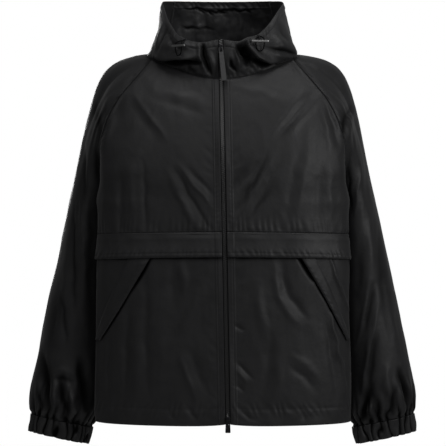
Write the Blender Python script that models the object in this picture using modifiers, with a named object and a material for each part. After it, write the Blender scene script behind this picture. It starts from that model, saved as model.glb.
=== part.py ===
"""Hooded zip jacket, filled out as when worn, and hollow.

Each cloth piece is an open sheet lofted from the sections and folds in the tables below, and
thickened to a wall. The jacket faces -Y, its wearer's left is +X, and the origin is the middle
of the neck at the height of the shoulders. Tables are in millimetres and degrees.
"""

import math

import bmesh
import bpy
import numpy as np
from mathutils import Matrix, Vector

MM = 0.001
LEFT, RIGHT = 1, -1
SIDE_NAMES = {LEFT: "left", RIGHT: "right"}

# Walls and seams
CLOTH = 1.2
CUFF_CLOTH = 1.6
TAPE_CLOTH = 0.8
CHAIN_THICK = 2.0
SEAM_GAP = 0.3
WIDEST_PULL = 3.0
SHARPEST_COSINE = 0.95
LAYER_RISE = CLOTH + SEAM_GAP
FLAP_LIFT = 1.2

# Heights at the centre front
HEM_Z = -708.0
FLAP_EDGE_Z = -388.0
FLAP_SEAM_Z = -341.0
UNDERARM_Z = -280.0
NECK_FRONT_Z = -48.0
NECK_BACK_Z = 14.0

# The zip leans a little, from its top to its bottom
ZIP_TOP_X, ZIP_TOP_Z = -3.5, 26.0
ZIP_BOTTOM_X = 10.5
ZIP_HALF_GAP = 5.0
ZIP_LEAN_SHARE = 0.1
CHAIN_HALF_WIDTH = 3.0
TAPE_INNER, TAPE_OUTER = -4.0, 9.0
ZIP_CLEARANCE = 0.65
TAPE_SINK = (CLOTH + TAPE_CLOTH) / 2 + ZIP_CLEARANCE
CHAIN_RISE = (CHAIN_THICK + TAPE_CLOTH) / 2 + ZIP_CLEARANCE - TAPE_SINK

# Mesh density: columns across a front, across half a back and round the sleeve's neck edge
FRONT_COLUMNS = 12
BACK_COLUMNS = 10
NECK_COLUMNS = 4
LOWER_ROWS = 9
FLAP_ROWS = 2
BODICE_ROWS = 3
RAGLAN_ROWS = 9
HEAD_ROWS = 7
SLEEVE_ROWS = 11
HOOD_ROWS = 12
GATHERS_PER_CUFF = 18
POINTS_PER_GATHER = 4
CUFF_ROWS = 2

# A front section runs from the zip to the side seam, or to the raglan seam above the underarm.
# Columns: height and depth at the zip, reach of its flat start, end x y z, end handle x y z
FRONT_SECTIONS = np.array([
    (-708, -139, 135, 231, 2, -706, 64, -108, 0),
    (-675, -140, 135, 228, 2, -677, 76, -110, 0),
    (-590, -141, 135, 216, 3, -594, 100, -112, 0),
    (-490, -142, 135, 202, 5, -496, 122, -115, 0),
    (-395, -142, 135, 192, 8, -402, 142, -119, 0),
    (-345, -142, 135, 190, 12, -350, 144, -121, 0),
    (-280, -140, 132, 190, 12, -280, 144, -120, 0),
    (-245, -139, 126, 214, -34, -247, 85, -82, 0),
    (-212, -137, 118, 230, -62, -214, 28, -55, 0),
    (-180, -134, 110, 235, -76, -179, -10, -38, 0),
    (-140, -127, 100, 224, -83, -134, -40, -27, 2),
    (-108, -119, 85, 202, -81, -89, -48, -23, -2),
    (-78, -109, 68, 170, -68, -48, -44, -22, -12),
    (-48, -98, 50, 136.5, -42, -6, -38, -30, -16),
], dtype=float)

# A back section runs from the centre back to the same seams, with the same columns
BACK_SECTIONS = np.array([
    (-708, 137, 125, 231, 2, -706, 32, 128, 0),
    (-675, 138, 125, 228, 2, -677, 38, 130, 0),
    (-590, 140, 122, 216, 3, -594, 46, 135, 0),
    (-490, 141, 118, 202, 5, -496, 46, 135, 0),
    (-395, 141, 115, 192, 8, -402, 46, 132, 0),
    (-345, 141, 115, 190, 12, -350, 45, 130, 0),
    (-280, 140, 115, 190, 12, -280, 44, 130, 0),
    (-245, 139, 112, 209, 48, -246, 26, 88, 0),
    (-212, 137, 108, 219, 76, -213, 5, 54, 0),
    (-180, 134, 102, 220, 94, -179, -22, 36, 0),
    (-140, 128, 92, 210, 106, -138, -42, 24, 2),
    (-100, 119, 80, 188, 109, -94, -48, 16, 5),
    (-60, 107, 66, 158, 103, -52, -46, 10, 6),
    (-20, 94, 52, 125, 90, -14, -40, 7, 5),
    (14, 84, 34, 96, 76, 12, -34, 8, 2),
], dtype=float)

# The neck edge of a sleeve bows out between its two raglan seams
NECK_EDGE_FRONT_HANDLE = np.array((26.0, 21.0, 11.0))
NECK_EDGE_BACK_HANDLE = np.array((34.0, -10.0, 2.0))

# Sleeve rings, square to the arm. Columns: outer z, outer x, inner x, middle y, half depth
SLEEVE_RINGS = np.array([
    (-698, 377, 256, 13, 31),
    (-688, 379, 250, 14, 40),
    (-665, 377, 243, 16, 49),
    (-625, 371, 239, 19, 55),
    (-550, 357, 233, 24, 61),
    (-460, 339, 227, 29, 67),
    (-365, 320, 223, 34, 73),
    (-275, 302, 221, 36, 77),
], dtype=float)
CUFF_RINGS = np.array([
    (-732, 379, 265, 13, 24),
    (-715, 377, 260, 13, 25),
    (-699, 375, 257, 13, 28),
], dtype=float)
ARM_SLOPE = 0.215
GATHER_HEIGHT = 1.9

# The sleeve head swells from its seam to the first ring
SEAM_ANGLE = 35.0
HEAD_PULL_TOP, HEAD_PULL_SEAM = 0.385, 0.33
RING_PULL_TOP, RING_PULL_SEAM = 0.78, 0.55
HEAD_TOP_REACH = 60.0
SHOULDER_SLOPE = 0.25
TOP_DIRECTION = np.array((1.0, 0.02, -0.10))
UNDERARM_DIRECTION = np.array((0.72, 0.10, -0.68))
UNDERARM_REACH = 0.60

# Hood meridians from the neck seam to the rim, by their share of the way from the zip to the
# centre back. Columns: share, rim x y z, handle at the neck x y z, belly from the middle of the
# neck and rim x y z, handle at the rim x y z
HOOD_MERIDIANS = np.array([
    (0.00, 5, -105, 26, 0, -5, 18, 0, -8, 0, 0, -2, -18),
    (0.12, 38, -102, 22, 0, -9, 16, 0, -14, 0, 0, -6, -16),
    (0.22, 66, -92, 29, 3, -13, 18, 6, -20, 0, 3, -11, -18),
    (0.30, 82, -79, 36, 7, -14, 20, 14, -22, 0, 7, -14, -20),
    (0.40, 97, -52, 60, 8, -10, 24, 14, -14, -2, 11, -10, -26),
    (0.50, 111, -16, 92, -4, -3, 28, 8, -3, -2, 10, -2, -30),
    (0.57, 119, 14, 109, -5, 6, 30, 5, 6, -4, 11, 6, -32),
    (0.68, 112, 62, 118, 7, 20, 36, 16, 30, -60, 20, 36, -60),
    (0.80, 76, 102, 122, 16, 30, 56, 22, 60, -210, 18, 66, -112),
    (0.92, 30, 116, 123, 8, 30, 68, 10, 78, -360, 9, 74, -136),
    (1.00, 0, 118, 123, 0, 30, 70, 0, 82, -385, 0, 76, -142),
], dtype=float)

# How each side's rim departs from those meridians. Columns: share, out from the centre, up
HOOD_RIM_SHIFTS = {
    LEFT: np.array([
        (0.00, 0.0, 0.0),
        (0.05, -1.5, 0.0),
        (0.12, -7.0, 1.0),
        (0.20, -14.0, 3.6),
        (0.30, -15.5, 1.4),
        (0.40, -8.5, 0.0),
        (0.50, -2.0, 0.0),
        (0.57, 0.0, 0.0),
        (1.00, 0.0, 0.0),
    ]),
    RIGHT: np.array([
        (0.00, 0.0, 0.0),
        (0.10, 0.5, -0.6),
        (0.20, 3.4, -2.2),
        (0.26, 3.0, 0.0),
        (0.34, 2.0, 0.0),
        (0.46, 3.4, 0.0),
        (0.57, 0.0, 0.0),
        (1.00, 0.0, 0.0),
    ]),
}

# Largest folds, as soft ridges (+) and troughs (-) along a line.
# Columns: start and end of the line, half width, height. On the fronts and back the line is x z
# seen from the front, with x out from the centre; on a sleeve it is angle and outer z.
FRONT_FOLDS = {
    LEFT: np.array([
        (168, -75, 105, -150, 14, -4.0),
        (88, -185, 34, -300, 15, -5.0),
        (112, -172, 38, -318, 14, 3.5),
        (172, -140, 148, -300, 16, 3.0),
        (118, -395, 158, -500, 15, -5.0),
        (214, -490, 240, -660, 14, 4.0),
        (72, -445, 84, -545, 15, 3.5),
        (92, -535, 86, -640, 15, -3.5),
    ], dtype=float),
    RIGHT: np.array([
        (170, -73, 108, -158, 13, 4.0),
        (90, -218, 36, -330, 15, -5.0),
        (80, -208, 34, -280, 13, 3.5),
        (155, -200, 150, -338, 14, -3.5),
        (152, -395, 146, -650, 16, -4.5),
        (184, -480, 192, -650, 14, -3.5),
        (78, -395, 80, -455, 15, 3.5),
        (80, -585, 54, -665, 14, 4.0),
    ], dtype=float),
}
BACK_FOLDS = np.array([
    (150, -150, 70, -300, 16, -4.0),
    (-140, -140, -55, -310, 16, -4.5),
    (120, -330, 135, -640, 17, -4.0),
    (30, -360, 10, -560, 17, 3.5),
    (-60, -420, -85, -690, 16, -4.0),
    (-150, -330, -160, -600, 17, 3.5),
], dtype=float)
SLEEVE_FOLDS = {
    LEFT: np.array([
        (70, -330, 95, -520, 13, -4.5),
        (45, -420, 62, -640, 13, 4.5),
        (95, -540, 80, -690, 12, 4.0),
        (20, -560, 28, -690, 12, -4.0),
        (250, -330, 290, -600, 14, -4.5),
        (320, -420, 300, -660, 13, 4.0),
    ], dtype=float),
    RIGHT: np.array([
        (75, -360, 60, -560, 13, -4.5),
        (50, -560, 42, -690, 12, 4.5),
        (85, -570, 78, -690, 12, 4.5),
        (105, -480, 112, -690, 12, -4.0),
        (255, -340, 280, -600, 14, -4.5),
        (315, -400, 325, -670, 13, 4.0),
    ], dtype=float),
}
FOLD_FADE_START, FOLD_FADE_END = 0.62, 0.82
ZIP_FADE_END = 0.10
FOLD_END_SHARE = 0.12

# Pocket flaps: free edge seen from the front, out from the centre, and width across
POCKET_TOP_X, POCKET_TOP_Z = 140.0, -393.0
POCKET_LOW_X, POCKET_LOW_Z = 232.0, -544.0
POCKET_WIDTH = 0.115
POCKET_RISE_TOP, POCKET_RISE_LOW = 2.0, 3.4
POCKET_STEP = 1.0
POCKET_COLUMNS, POCKET_ROWS = 2, 9
POCKET_REACH, POCKET_TRIALS = 0.72, 200

# Zip sliders and pulls
SLIDER_WIDE, SLIDER_TALL, SLIDER_DEEP = 9.0, 13.0, 3.0
BRIDGE_WIDE, BRIDGE_TALL, BRIDGE_BAR, BRIDGE_ROOT = 2.4, 11.0, 1.2, 1.0
TUNNEL_DEEP, TUNNEL_TALL = 2.6, 8.0
SLIDER_BEVEL = 0.7
PULL_THICK = 1.5
PULL_EYE_BAR, PULL_EYE_TALL, PULL_EYE_WIDE = 1.5, 7.0, 5.4
PULL_CORNER, PULL_EYE_CORNER = 1.6, 1.0
CORNER_STEPS = 5
# Columns: slider height, pull length, width at the eye and at the end, lean in degrees
SLIDERS = {
    "top": (10.0, 63.0, 8.4, 9.6, 6.0),
    "bottom": (-696.0, 24.0, 8.4, 10.0, 0.0),
}

# Drawcord. Columns: each eyelet's share round its hood side and up it, the turn of its cord's
# loop in degrees, and how far out of the eyelet the loop hangs
EYELETS = {LEFT: (0.302, 0.93, 4.0, 17.2), RIGHT: (0.230, 0.93, -42.0, 15.5)}
EYELET_RING, EYELET_WIRE = 4.1, 0.9
CORD_RADIUS = 1.2
CORD_STEPS = 1
EYELET_STEPS, EYELET_WIRE_STEPS, HOLE_STEPS = 16, 6, 12
BAR_LONG, BAR_TALL, BAR_DEEP, BAR_BEVEL = 33.0, 4.4, 4.6, 1.0
BAR_DROP, BAR_HOLE_X, BAR_HOLE_RADIUS = -11.0, 8.0, 1.6
# Half of the cord's route from the front of the eyelet: beside it, share of the way out, down
CORD_ROUTE = np.array([
    (1.75, 0.00, 0.0),
    (2.4, 0.35, -0.9),
    (4.2, 0.66, -2.6),
    (6.6, 0.91, -4.6),
    (7.9, 1.00, -6.9),
    (8.0, 1.00, -9.5),
    (8.0, 1.00, -13.2),
    (7.8, 1.00, -17.6),
    (6.8, 1.00, -23.0),
    (4.6, 1.00, -27.2),
    (1.8, 1.00, -29.4),
])

# Finishes: colour, roughness, metallic
CLOTH_BLACK = ((0.012, 0.012, 0.013), 0.45, 0.0)
TAPE_BLACK = ((0.009, 0.009, 0.010), 0.70, 0.0)
TEETH_BLACK = ((0.016, 0.016, 0.017), 0.35, 0.0)
SLIDER_GREY = ((0.030, 0.030, 0.032), 0.35, 1.0)
PULL_GREY = ((0.085, 0.085, 0.088), 0.40, 0.6)
BAR_SILVER = ((0.36, 0.36, 0.36), 0.30, 1.0)
CORD_BLACK = ((0.010, 0.010, 0.011), 0.75, 0.0)


def clear_scene():
    """Remove what the scene holds."""
    for thing in list(bpy.data.objects):
        bpy.data.objects.remove(thing, do_unlink=True)


def new_collection(name):
    """A new collection in the scene."""
    collection = bpy.data.collections.new(name)
    bpy.context.scene.collection.children.link(collection)
    return collection


def finish_material(name, finish):
    """A plain material of one colour, roughness and metallic value."""
    colour, roughness, metallic = finish
    material = bpy.data.materials.new(name)
    material.use_nodes = True
    shader = material.node_tree.nodes["Principled BSDF"]
    shader.inputs["Base Color"].default_value = (*colour, 1.0)
    shader.inputs["Roughness"].default_value = roughness
    shader.inputs["Metallic"].default_value = metallic
    return material


def smooth_step(low, high, value):
    """0 below low, 1 above high, and smooth between them."""
    share = np.clip((value - low) / (high - low), 0.0, 1.0)
    return share * share * (3 - 2 * share)


def unit(vectors):
    """Vectors of length 1."""
    return vectors / np.linalg.norm(vectors, axis=-1, keepdims=True)


def row_slopes(keys, values):
    """Slopes through a table's rows that never overshoot a row."""
    rises = np.diff(values, axis=0) / np.diff(keys)[:, None]
    before, after = rises[:-1], rises[1:]
    product = before * after
    total = np.where(product > 0, before + after, 1.0)
    inner = np.where(product > 0, 2 * product / total, 0.0)
    return np.concatenate([rises[:1], inner, rises[-1:]])


def spline(table, at):
    """The columns of a table at any key, on a smooth curve through its rows."""
    keys, values = table[:, 0], table[:, 1:]
    slopes = row_slopes(keys, values)
    at = np.asarray(at, dtype=float)
    low = np.clip(np.searchsorted(keys, at, side="right") - 1, 0, len(keys) - 2)
    span = (keys[low + 1] - keys[low])[..., None]
    s = (at - keys[low])[..., None] / span
    start = (1 + 2 * s) * (1 - s) ** 2 * values[low] + s * (1 - s) ** 2 * span * slopes[low]
    end = s * s * (3 - 2 * s) * values[low + 1] + s * s * (s - 1) * span * slopes[low + 1]
    return start + end


def bezier(controls, t):
    """Points at shares t of curves with any number of control points."""
    t = t[..., None]
    points = [control + 0 * t for control in controls]
    while len(points) > 1:
        points = [(1 - t) * a + t * b for a, b in zip(points, points[1:])]
    return points[0]


def grid_normals(grid, closed=False):
    """Normals of a grid of points, along its columns crossed with its rows."""
    if closed:
        across = np.roll(grid, -1, axis=1) - np.roll(grid, 1, axis=1)
    else:
        across = np.gradient(grid, axis=1)
    return unit(np.cross(across, np.gradient(grid, axis=0)))


def fold_height(a, b, folds):
    """Height of the ridges and troughs at places (a, b), fading to each line's ends."""
    height = np.zeros(np.broadcast(a, b).shape)
    for a0, b0, a1, b1, half_width, rise in folds:
        length = math.hypot(a1 - a0, b1 - b0)
        along = ((a - a0) * (a1 - a0) + (b - b0) * (b1 - b0)) / length ** 2
        nearest = np.clip(along, 0.0, 1.0)
        away = np.hypot(a - a0 - nearest * (a1 - a0), b - b0 - nearest * (b1 - b0))
        taper = np.sin(math.pi * (FOLD_END_SHARE + (1 - 2 * FOLD_END_SHARE) * nearest))
        height += rise * taper * np.exp(-(away / half_width) ** 2)
    return height


def open_seam(one, other):
    """Part two walls along a shared edge, more where they meet at a sharper angle.

    Each edge is a pair of views of its grid: the points on the edge and the ones next to them.
    """
    along = unit(np.gradient(one[0], axis=0))
    ways = [unit(beside - edge) for edge, beside in (one, other)]
    squares = [way - (way * along).sum(-1, keepdims=True) * along for way in ways]
    cosine = (unit(squares[0]) * unit(squares[1])).sum(-1, keepdims=True)
    cosine = np.clip(cosine, -1.0, SHARPEST_COSINE)
    pull = SEAM_GAP / 2 + (CLOTH / 2 + SEAM_GAP / 4) * np.sqrt((1 + cosine) / (1 - cosine))
    for (edge, _), way, square in zip((one, other), ways, squares):
        edge += way * np.minimum(pull / np.linalg.norm(square, axis=-1, keepdims=True), WIDEST_PULL)


def section_points(sections, z, u, start_x):
    """Points of sections at heights z (rows) and shares u (columns), for the +X side."""
    y, reach, end_x, end_y, end_z, dx, dy, dz = np.moveaxis(spline(sections, z), -1, 0)
    start = np.stack([start_x + 0 * z, y, z], axis=-1)
    flat = start + np.stack([reach, 0 * z, 0 * z], axis=-1)
    end = np.stack([end_x, end_y, end_z], axis=-1)
    handle = end + np.stack([dx, dy, dz], axis=-1)
    row = [p[:, None, :] for p in (start, flat, handle, end)]
    return bezier(row, u[None, :] + 0 * z[:, None])


def zip_x(z):
    """Where the leaning zip is at a height."""
    share = (ZIP_TOP_Z - z) / (ZIP_TOP_Z - HEM_Z)
    return ZIP_TOP_X + share * (ZIP_BOTTOM_X - ZIP_TOP_X)


def front_grid(side, z, u, rise=0.0):
    """A front's points at heights z and shares u, folds included, moved out by rise."""
    grid = section_points(FRONT_SECTIONS, z, u, side * zip_x(z) + ZIP_HALF_GAP)
    fade = 1 - smooth_step(FOLD_FADE_START, FOLD_FADE_END, u)[None, :]
    height = fold_height(grid[..., 0], grid[..., 2], FRONT_FOLDS[side]) * fade
    edge = smooth_step(0.0, ZIP_FADE_END, u)[None, :]
    grid = grid + grid_normals(grid) * (height * edge + rise)[..., None]
    return grid * np.array((side, 1.0, 1.0))


def back_grid(z, u):
    """The back's points: u runs from -1 at the wearer's left seam to +1 at the right one."""
    half = section_points(BACK_SECTIONS, z, np.abs(u), 0.0)
    grid = half * np.stack([-np.sign(u), np.ones_like(u), np.ones_like(u)], axis=-1)[None, :, :]
    fade = 1 - smooth_step(FOLD_FADE_START, FOLD_FADE_END, np.abs(u))[None, :]
    height = fold_height(grid[..., 0], grid[..., 2], BACK_FOLDS) * fade
    return grid + grid_normals(grid) * height[..., None]


def raglan_heights():
    """Heights of the fronts' rows along the raglan seam, from the underarm to the neck."""
    return np.linspace(UNDERARM_Z, NECK_FRONT_Z, RAGLAN_ROWS + 1)


def back_raglan_heights():
    """Heights of the back's rows along the raglan seam, from the underarm to the neck."""
    return np.linspace(UNDERARM_Z, NECK_BACK_Z, RAGLAN_ROWS + 1)


def neck_edge():
    """The neck edge of the left sleeve, from its front seam to its back seam."""
    front = spline(FRONT_SECTIONS, NECK_FRONT_Z)[2:5]
    back = spline(BACK_SECTIONS, NECK_BACK_Z)[2:5]
    t = np.linspace(0, 1, NECK_COLUMNS + 1)
    handles = (front + NECK_EDGE_FRONT_HANDLE, back + NECK_EDGE_BACK_HANDLE)
    return bezier((front, *handles, back), t)


def ring_points(values, angles):
    """Rings square to the arm: values as in the ring tables, angle 0 outside, 90 in front."""
    outer_z, outer_x, inner_x, middle_y, half_depth = np.moveaxis(values, -1, 0)[..., None]
    half = (outer_x - inner_x) / 2
    swing = np.radians(angles)[None, :]
    x = outer_x - half + half * np.cos(swing)
    y = middle_y - half_depth * np.sin(swing)
    z = outer_z + (x - outer_x) * ARM_SLOPE
    return np.stack([x, y, z], axis=-1)


def ring_table(table, z):
    """Ring values at outer heights z."""
    return np.concatenate([np.asarray(z)[:, None], spline(table, z)], axis=-1)


def sleeve_loop():
    """The left sleeve's top loop with its angles, how the cloth leaves it and nears the arm.

    It runs from the neck edge's middle down the front seam to the underarm and up the back.
    """
    edge = neck_edge()
    middle = NECK_COLUMNS // 2
    front_end = spline(FRONT_SECTIONS, raglan_heights()[::-1])
    back_end = spline(BACK_SECTIONS, back_raglan_heights())
    front, front_handle = front_end[:, 2:5], front_end[:, 5:8]
    back, back_handle = back_end[:, 2:5], back_end[:, 5:8]
    points = np.concatenate([edge[middle:0:-1], front, back[1:], edge[-2:middle:-1]])
    neck = len(edge[middle:0:-1])
    swing = 180 - SEAM_ANGLE
    front_angles = SEAM_ANGLE + swing * np.linspace(0, 1, len(front))
    back_angles = 180 + swing * np.linspace(0, 1, len(back))[1:]
    neck_angles = SEAM_ANGLE * np.arange(neck) / neck
    angles = np.concatenate([neck_angles, front_angles, back_angles, 360 - neck_angles[:0:-1]])

    def seam_direction(seam, handle):
        down = unit(np.gradient(seam, axis=0))
        leave = unit(unit(-handle) + down)
        near = smooth_step(0.0, UNDERARM_REACH, np.linspace(1, 0, len(seam)))[:, None]
        return unit(near * leave + (1 - near) * UNDERARM_DIRECTION)

    front_way = seam_direction(front, front_handle)
    back_way = seam_direction(back[::-1], back_handle[::-1])[::-1]
    share = (np.arange(neck) / neck)[:, None]
    neck_front = unit((1 - share) * TOP_DIRECTION + share * front_way[0])
    neck_back = unit((1 - share) * TOP_DIRECTION + share * back_way[-1])
    ways = np.concatenate([neck_front, front_way, back_way[1:], neck_back[:0:-1]])
    top = 1 - smooth_step(0, HEAD_TOP_REACH, np.minimum(angles, 360 - angles))[:, None]
    leave = HEAD_PULL_SEAM + (HEAD_PULL_TOP - HEAD_PULL_SEAM) * top
    arrive = RING_PULL_SEAM + (RING_PULL_TOP - RING_PULL_SEAM) * top
    return points, angles, ways * leave, arrive


def sleeve_grid(side):
    """A sleeve's points, from its top loop down to its cuff."""
    loop, angles, leave, arrive = sleeve_loop()
    first_z = SLEEVE_RINGS[-1, 0]
    first = ring_points(ring_table(SLEEVE_RINGS, np.array([first_z])), angles)[0]
    far = np.linalg.norm(first - loop, axis=-1, keepdims=True)
    arm_up = unit(np.array((-SHOULDER_SLOPE, 0.0, 1.0)))
    t = np.linspace(0, 1, HEAD_ROWS + 1)[:-1, None] + 0 * angles[None, :]
    head = bezier((loop, loop + leave * far, first + arm_up * arrive * far, first), t)
    z = np.linspace(first_z, SLEEVE_RINGS[0, 0] + SEAM_GAP, SLEEVE_ROWS + 1)
    arm = ring_points(ring_table(SLEEVE_RINGS, z), angles)
    heights = fold_height(angles[None, :], z[:, None], SLEEVE_FOLDS[side])
    arm = arm + grid_normals(arm, closed=True) * heights[..., None]
    return np.concatenate([head, arm]) * np.array((side, 1.0, 1.0))


def cuff_grid(side):
    """A cuff's points, gathered in even waves by its elastic."""
    count = GATHERS_PER_CUFF * POINTS_PER_GATHER
    angles = np.arange(count) * 360.0 / count
    z = np.linspace(CUFF_RINGS[-1, 0], CUFF_RINGS[0, 0], CUFF_ROWS + 1)
    grid = ring_points(ring_table(CUFF_RINGS, z), angles)
    wave = GATHER_HEIGHT * np.cos(np.radians(angles) * GATHERS_PER_CUFF)
    grid = grid + grid_normals(grid, closed=True) * wave[None, :, None]
    return grid * np.array((side, 1.0, 1.0))


def neck_ring(side=LEFT):
    """Half of the neck seam from the zip to the centre back at +X, and each point's share."""
    u = np.linspace(0, 1, FRONT_COLUMNS + 1)
    low = np.array([NECK_FRONT_Z])
    front = section_points(FRONT_SECTIONS, low, u, side * zip_x(low) + ZIP_HALF_GAP)[0]
    back_u = np.linspace(1, 0, BACK_COLUMNS + 1)
    back = section_points(BACK_SECTIONS, np.array([NECK_BACK_Z]), back_u, 0.0)[0]
    ring = np.concatenate([front, neck_edge()[1:-1], back])
    steps = np.linalg.norm(np.diff(ring, axis=0), axis=-1)
    share = np.concatenate([[0.0], np.cumsum(steps)]) / steps.sum()
    return ring, share


def hood_points(ring, share, t, side=LEFT):
    """Hood points at +X over neck ring points, with t from the neck seam to the rim."""
    values = spline(HOOD_MERIDIANS, share)
    values[:, [0, 2]] += spline(HOOD_RIM_SHIFTS[side], share)
    rim, neck_handle, belly, rim_handle = (values[:, k:k + 3] for k in (0, 3, 6, 9))
    belly = (ring + rim) / 2 + belly
    grid_t = t[:, None] + 0 * share[None, :]
    return bezier((ring, ring + neck_handle, belly, rim + rim_handle, rim), grid_t)


def hood_side_grid(side):
    """A hood side, from the zip round to the centre panel."""
    ring, share = neck_ring(side)
    last = FRONT_COLUMNS + NECK_COLUMNS + 1
    t = np.linspace(0, 1, HOOD_ROWS + 1)
    grid = hood_points(ring[:last], share[:last], t, side)
    beside = side * zip_x(grid[..., 2]) + ZIP_HALF_GAP - grid[:, :1, 0]
    grid[..., 0] += beside * np.clip(1 - share[:last] / ZIP_LEAN_SHARE, 0, 1)[None, :]
    return grid * np.array((side, 1.0, 1.0))


def hood_centre_grid():
    """The hood's centre panel, over the pouch that hangs behind the neck."""
    ring, share = neck_ring()
    first = FRONT_COLUMNS + NECK_COLUMNS
    half = hood_points(ring[first:], share[first:], np.linspace(0, 1, HOOD_ROWS + 1))
    mirror = half[:, -2::-1] * np.array((-1.0, 1.0, 1.0))
    return np.concatenate([half, mirror], axis=1)


def sheet_object(name, grid, material, collection, side=LEFT, closed=False, thick=CLOTH):
    """A wall of cloth: the grid's open sheet with Solidify on both of its sides."""
    rows, columns = grid.shape[:2]
    index = np.arange(rows * columns).reshape(rows, columns)
    if closed:
        index = np.concatenate([index, index[:, :1]], axis=1)
    quads = np.stack([index[:-1, :-1], index[:-1, 1:], index[1:, 1:], index[1:, :-1]], axis=-1)
    if side == RIGHT:
        quads = quads[..., ::-1]
    mesh = bpy.data.meshes.new(name)
    mesh.from_pydata((grid.reshape(-1, 3) * MM).tolist(), [], quads.reshape(-1, 4).tolist())
    mesh.materials.append(material)
    mesh.shade_smooth()
    thing = bpy.data.objects.new(name, mesh)
    collection.objects.link(thing)
    wall = thing.modifiers.new("wall", "SOLIDIFY")
    wall.thickness = thick * MM
    wall.offset = 0.0
    return thing


def upper_heights():
    """Heights of an upper front's rows, from its flap seam to the neck."""
    bodice = np.linspace(FLAP_SEAM_Z, UNDERARM_Z, BODICE_ROWS + 1)[:-1]
    return np.concatenate([bodice, raglan_heights()])


def lower_heights():
    """Heights of a lower front's rows, from the hem to its seam under the storm flap."""
    flap = np.linspace(FLAP_EDGE_Z, FLAP_SEAM_Z, FLAP_ROWS + 1)
    return np.concatenate([np.linspace(HEM_Z, FLAP_EDGE_Z, LOWER_ROWS + 1)[:-1], flap])


def flap_grid(side):
    """A storm flap: the top rows of the lower front, moved out and lifted at its free edge."""
    u = np.linspace(0, 1, FRONT_COLUMNS + 1)[:-1]
    grid = front_grid(side, lower_heights()[LOWER_ROWS:], u, LAYER_RISE)
    grid[0] += (grid_normals(grid) * side)[0] * FLAP_LIFT
    return grid


def pocket_grid(side):
    """A slanted flap over the pocket: a strip of the lower front's points, moved out."""
    z = np.linspace(POCKET_LOW_Z, POCKET_TOP_Z, POCKET_ROWS + 1)
    x = np.linspace(POCKET_LOW_X, POCKET_TOP_X, POCKET_ROWS + 1)
    rise = np.linspace(POCKET_RISE_LOW, POCKET_RISE_TOP, POCKET_ROWS + 1)
    u = np.linspace(0, POCKET_REACH, POCKET_TRIALS)
    plain = section_points(FRONT_SECTIONS, z, u, side * zip_x(z) + ZIP_HALF_GAP)
    free = np.array([np.interp(want, line[:, 0], u) for want, line in zip(x, plain)])
    rows = []
    for height, share, out in zip(z, free, rise):
        across = np.linspace(share, share + POCKET_WIDTH, POCKET_COLUMNS + 1)
        around = height + POCKET_STEP * np.array((-1.0, 0.0, 1.0))
        rows.append(front_grid(side, around, across, out)[1])
    return np.array(rows)


def back_heights():
    """Heights of the back's rows: the fronts' below the underarm, then the raglan seam's."""
    below = np.concatenate([lower_heights(), upper_heights()[1:BODICE_ROWS]])
    return np.concatenate([below, back_raglan_heights()])


def zip_edge(grids):
    """The first two columns of a side's lower front, upper front and hood, from the hem up."""
    lower, upper, hood = grids["front_lower"], grids["front_upper"], grids["hood_side"]
    return np.concatenate([lower[:-1, :2], upper[:-1, :2], hood[:, :2]])


def side_edge(grid, side):
    """Views of the edge column of a panel across the back, and the one beside it."""
    return (grid[:, 0], grid[:, 1]) if side == LEFT else (grid[:, -1], grid[:, -2])


def open_side_seams(side, grids, back, centre):
    """Part one side's panels along every seam between them and to the back and hood centre."""
    upper, lower = grids["front_upper"], grids["front_lower"]
    sleeve, hood = grids["sleeve"], grids["hood_side"]
    turn = NECK_COLUMNS // 2
    underarm = turn + RAGLAN_ROWS
    back_edge, back_beside = side_edge(back, side)
    low = len(lower)
    rise = low + BODICE_ROWS - 1
    front = (upper[BODICE_ROWS:, -1][::-1], upper[BODICE_ROWS:, -2][::-1])
    open_seam(front, (sleeve[0, turn:underarm + 1], sleeve[1, turn:underarm + 1]))
    back_raglan = (back_edge[rise:], back_beside[rise:])
    back_end = underarm + RAGLAN_ROWS + 1
    open_seam(back_raglan, (sleeve[0, underarm:back_end], sleeve[1, underarm:back_end]))
    open_seam((lower[:, -1], lower[:, -2]), (back_edge[:low], back_beside[:low]))
    bodice = (upper[:BODICE_ROWS + 1, -1], upper[:BODICE_ROWS + 1, -2])
    open_seam(bodice, (back_edge[low - 1:rise + 1], back_beside[low - 1:rise + 1]))
    open_seam((upper[0], upper[1]), (lower[-1], lower[-2]))

    neck = FRONT_COLUMNS + 1
    open_seam((upper[-1], upper[-2]), (hood[0, :neck], hood[1, :neck]))
    front_turn = slice(neck - 1, neck - 1 + turn)
    hood_turn = (hood[0, front_turn], hood[1, front_turn])
    open_seam((sleeve[0, turn:0:-1], sleeve[1, turn:0:-1]), hood_turn)
    back_turn = slice(neck - 1 + turn, neck + 2 * turn)
    order = [0] + list(range(-1, -turn - 1, -1))
    around = (sleeve[0][order], sleeve[1][order])
    open_seam(around, (hood[0, back_turn], hood[1, back_turn]))
    sleeve[0][order] = around[0]
    open_seam((hood[:, -1], hood[:, -2]), side_edge(centre, side))


def shared_panels():
    """The back and the hood's centre."""
    u = np.linspace(-1, 1, 2 * BACK_COLUMNS + 1)
    return back_grid(back_heights(), u), hood_centre_grid()


def side_panels(side):
    """One side's cloth panels by name."""
    u = np.linspace(0, 1, FRONT_COLUMNS + 1)
    return {
        "front_upper": front_grid(side, upper_heights(), u),
        "front_lower": front_grid(side, lower_heights(), u),
        "sleeve": sleeve_grid(side),
        "hood_side": hood_side_grid(side),
    }


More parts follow.
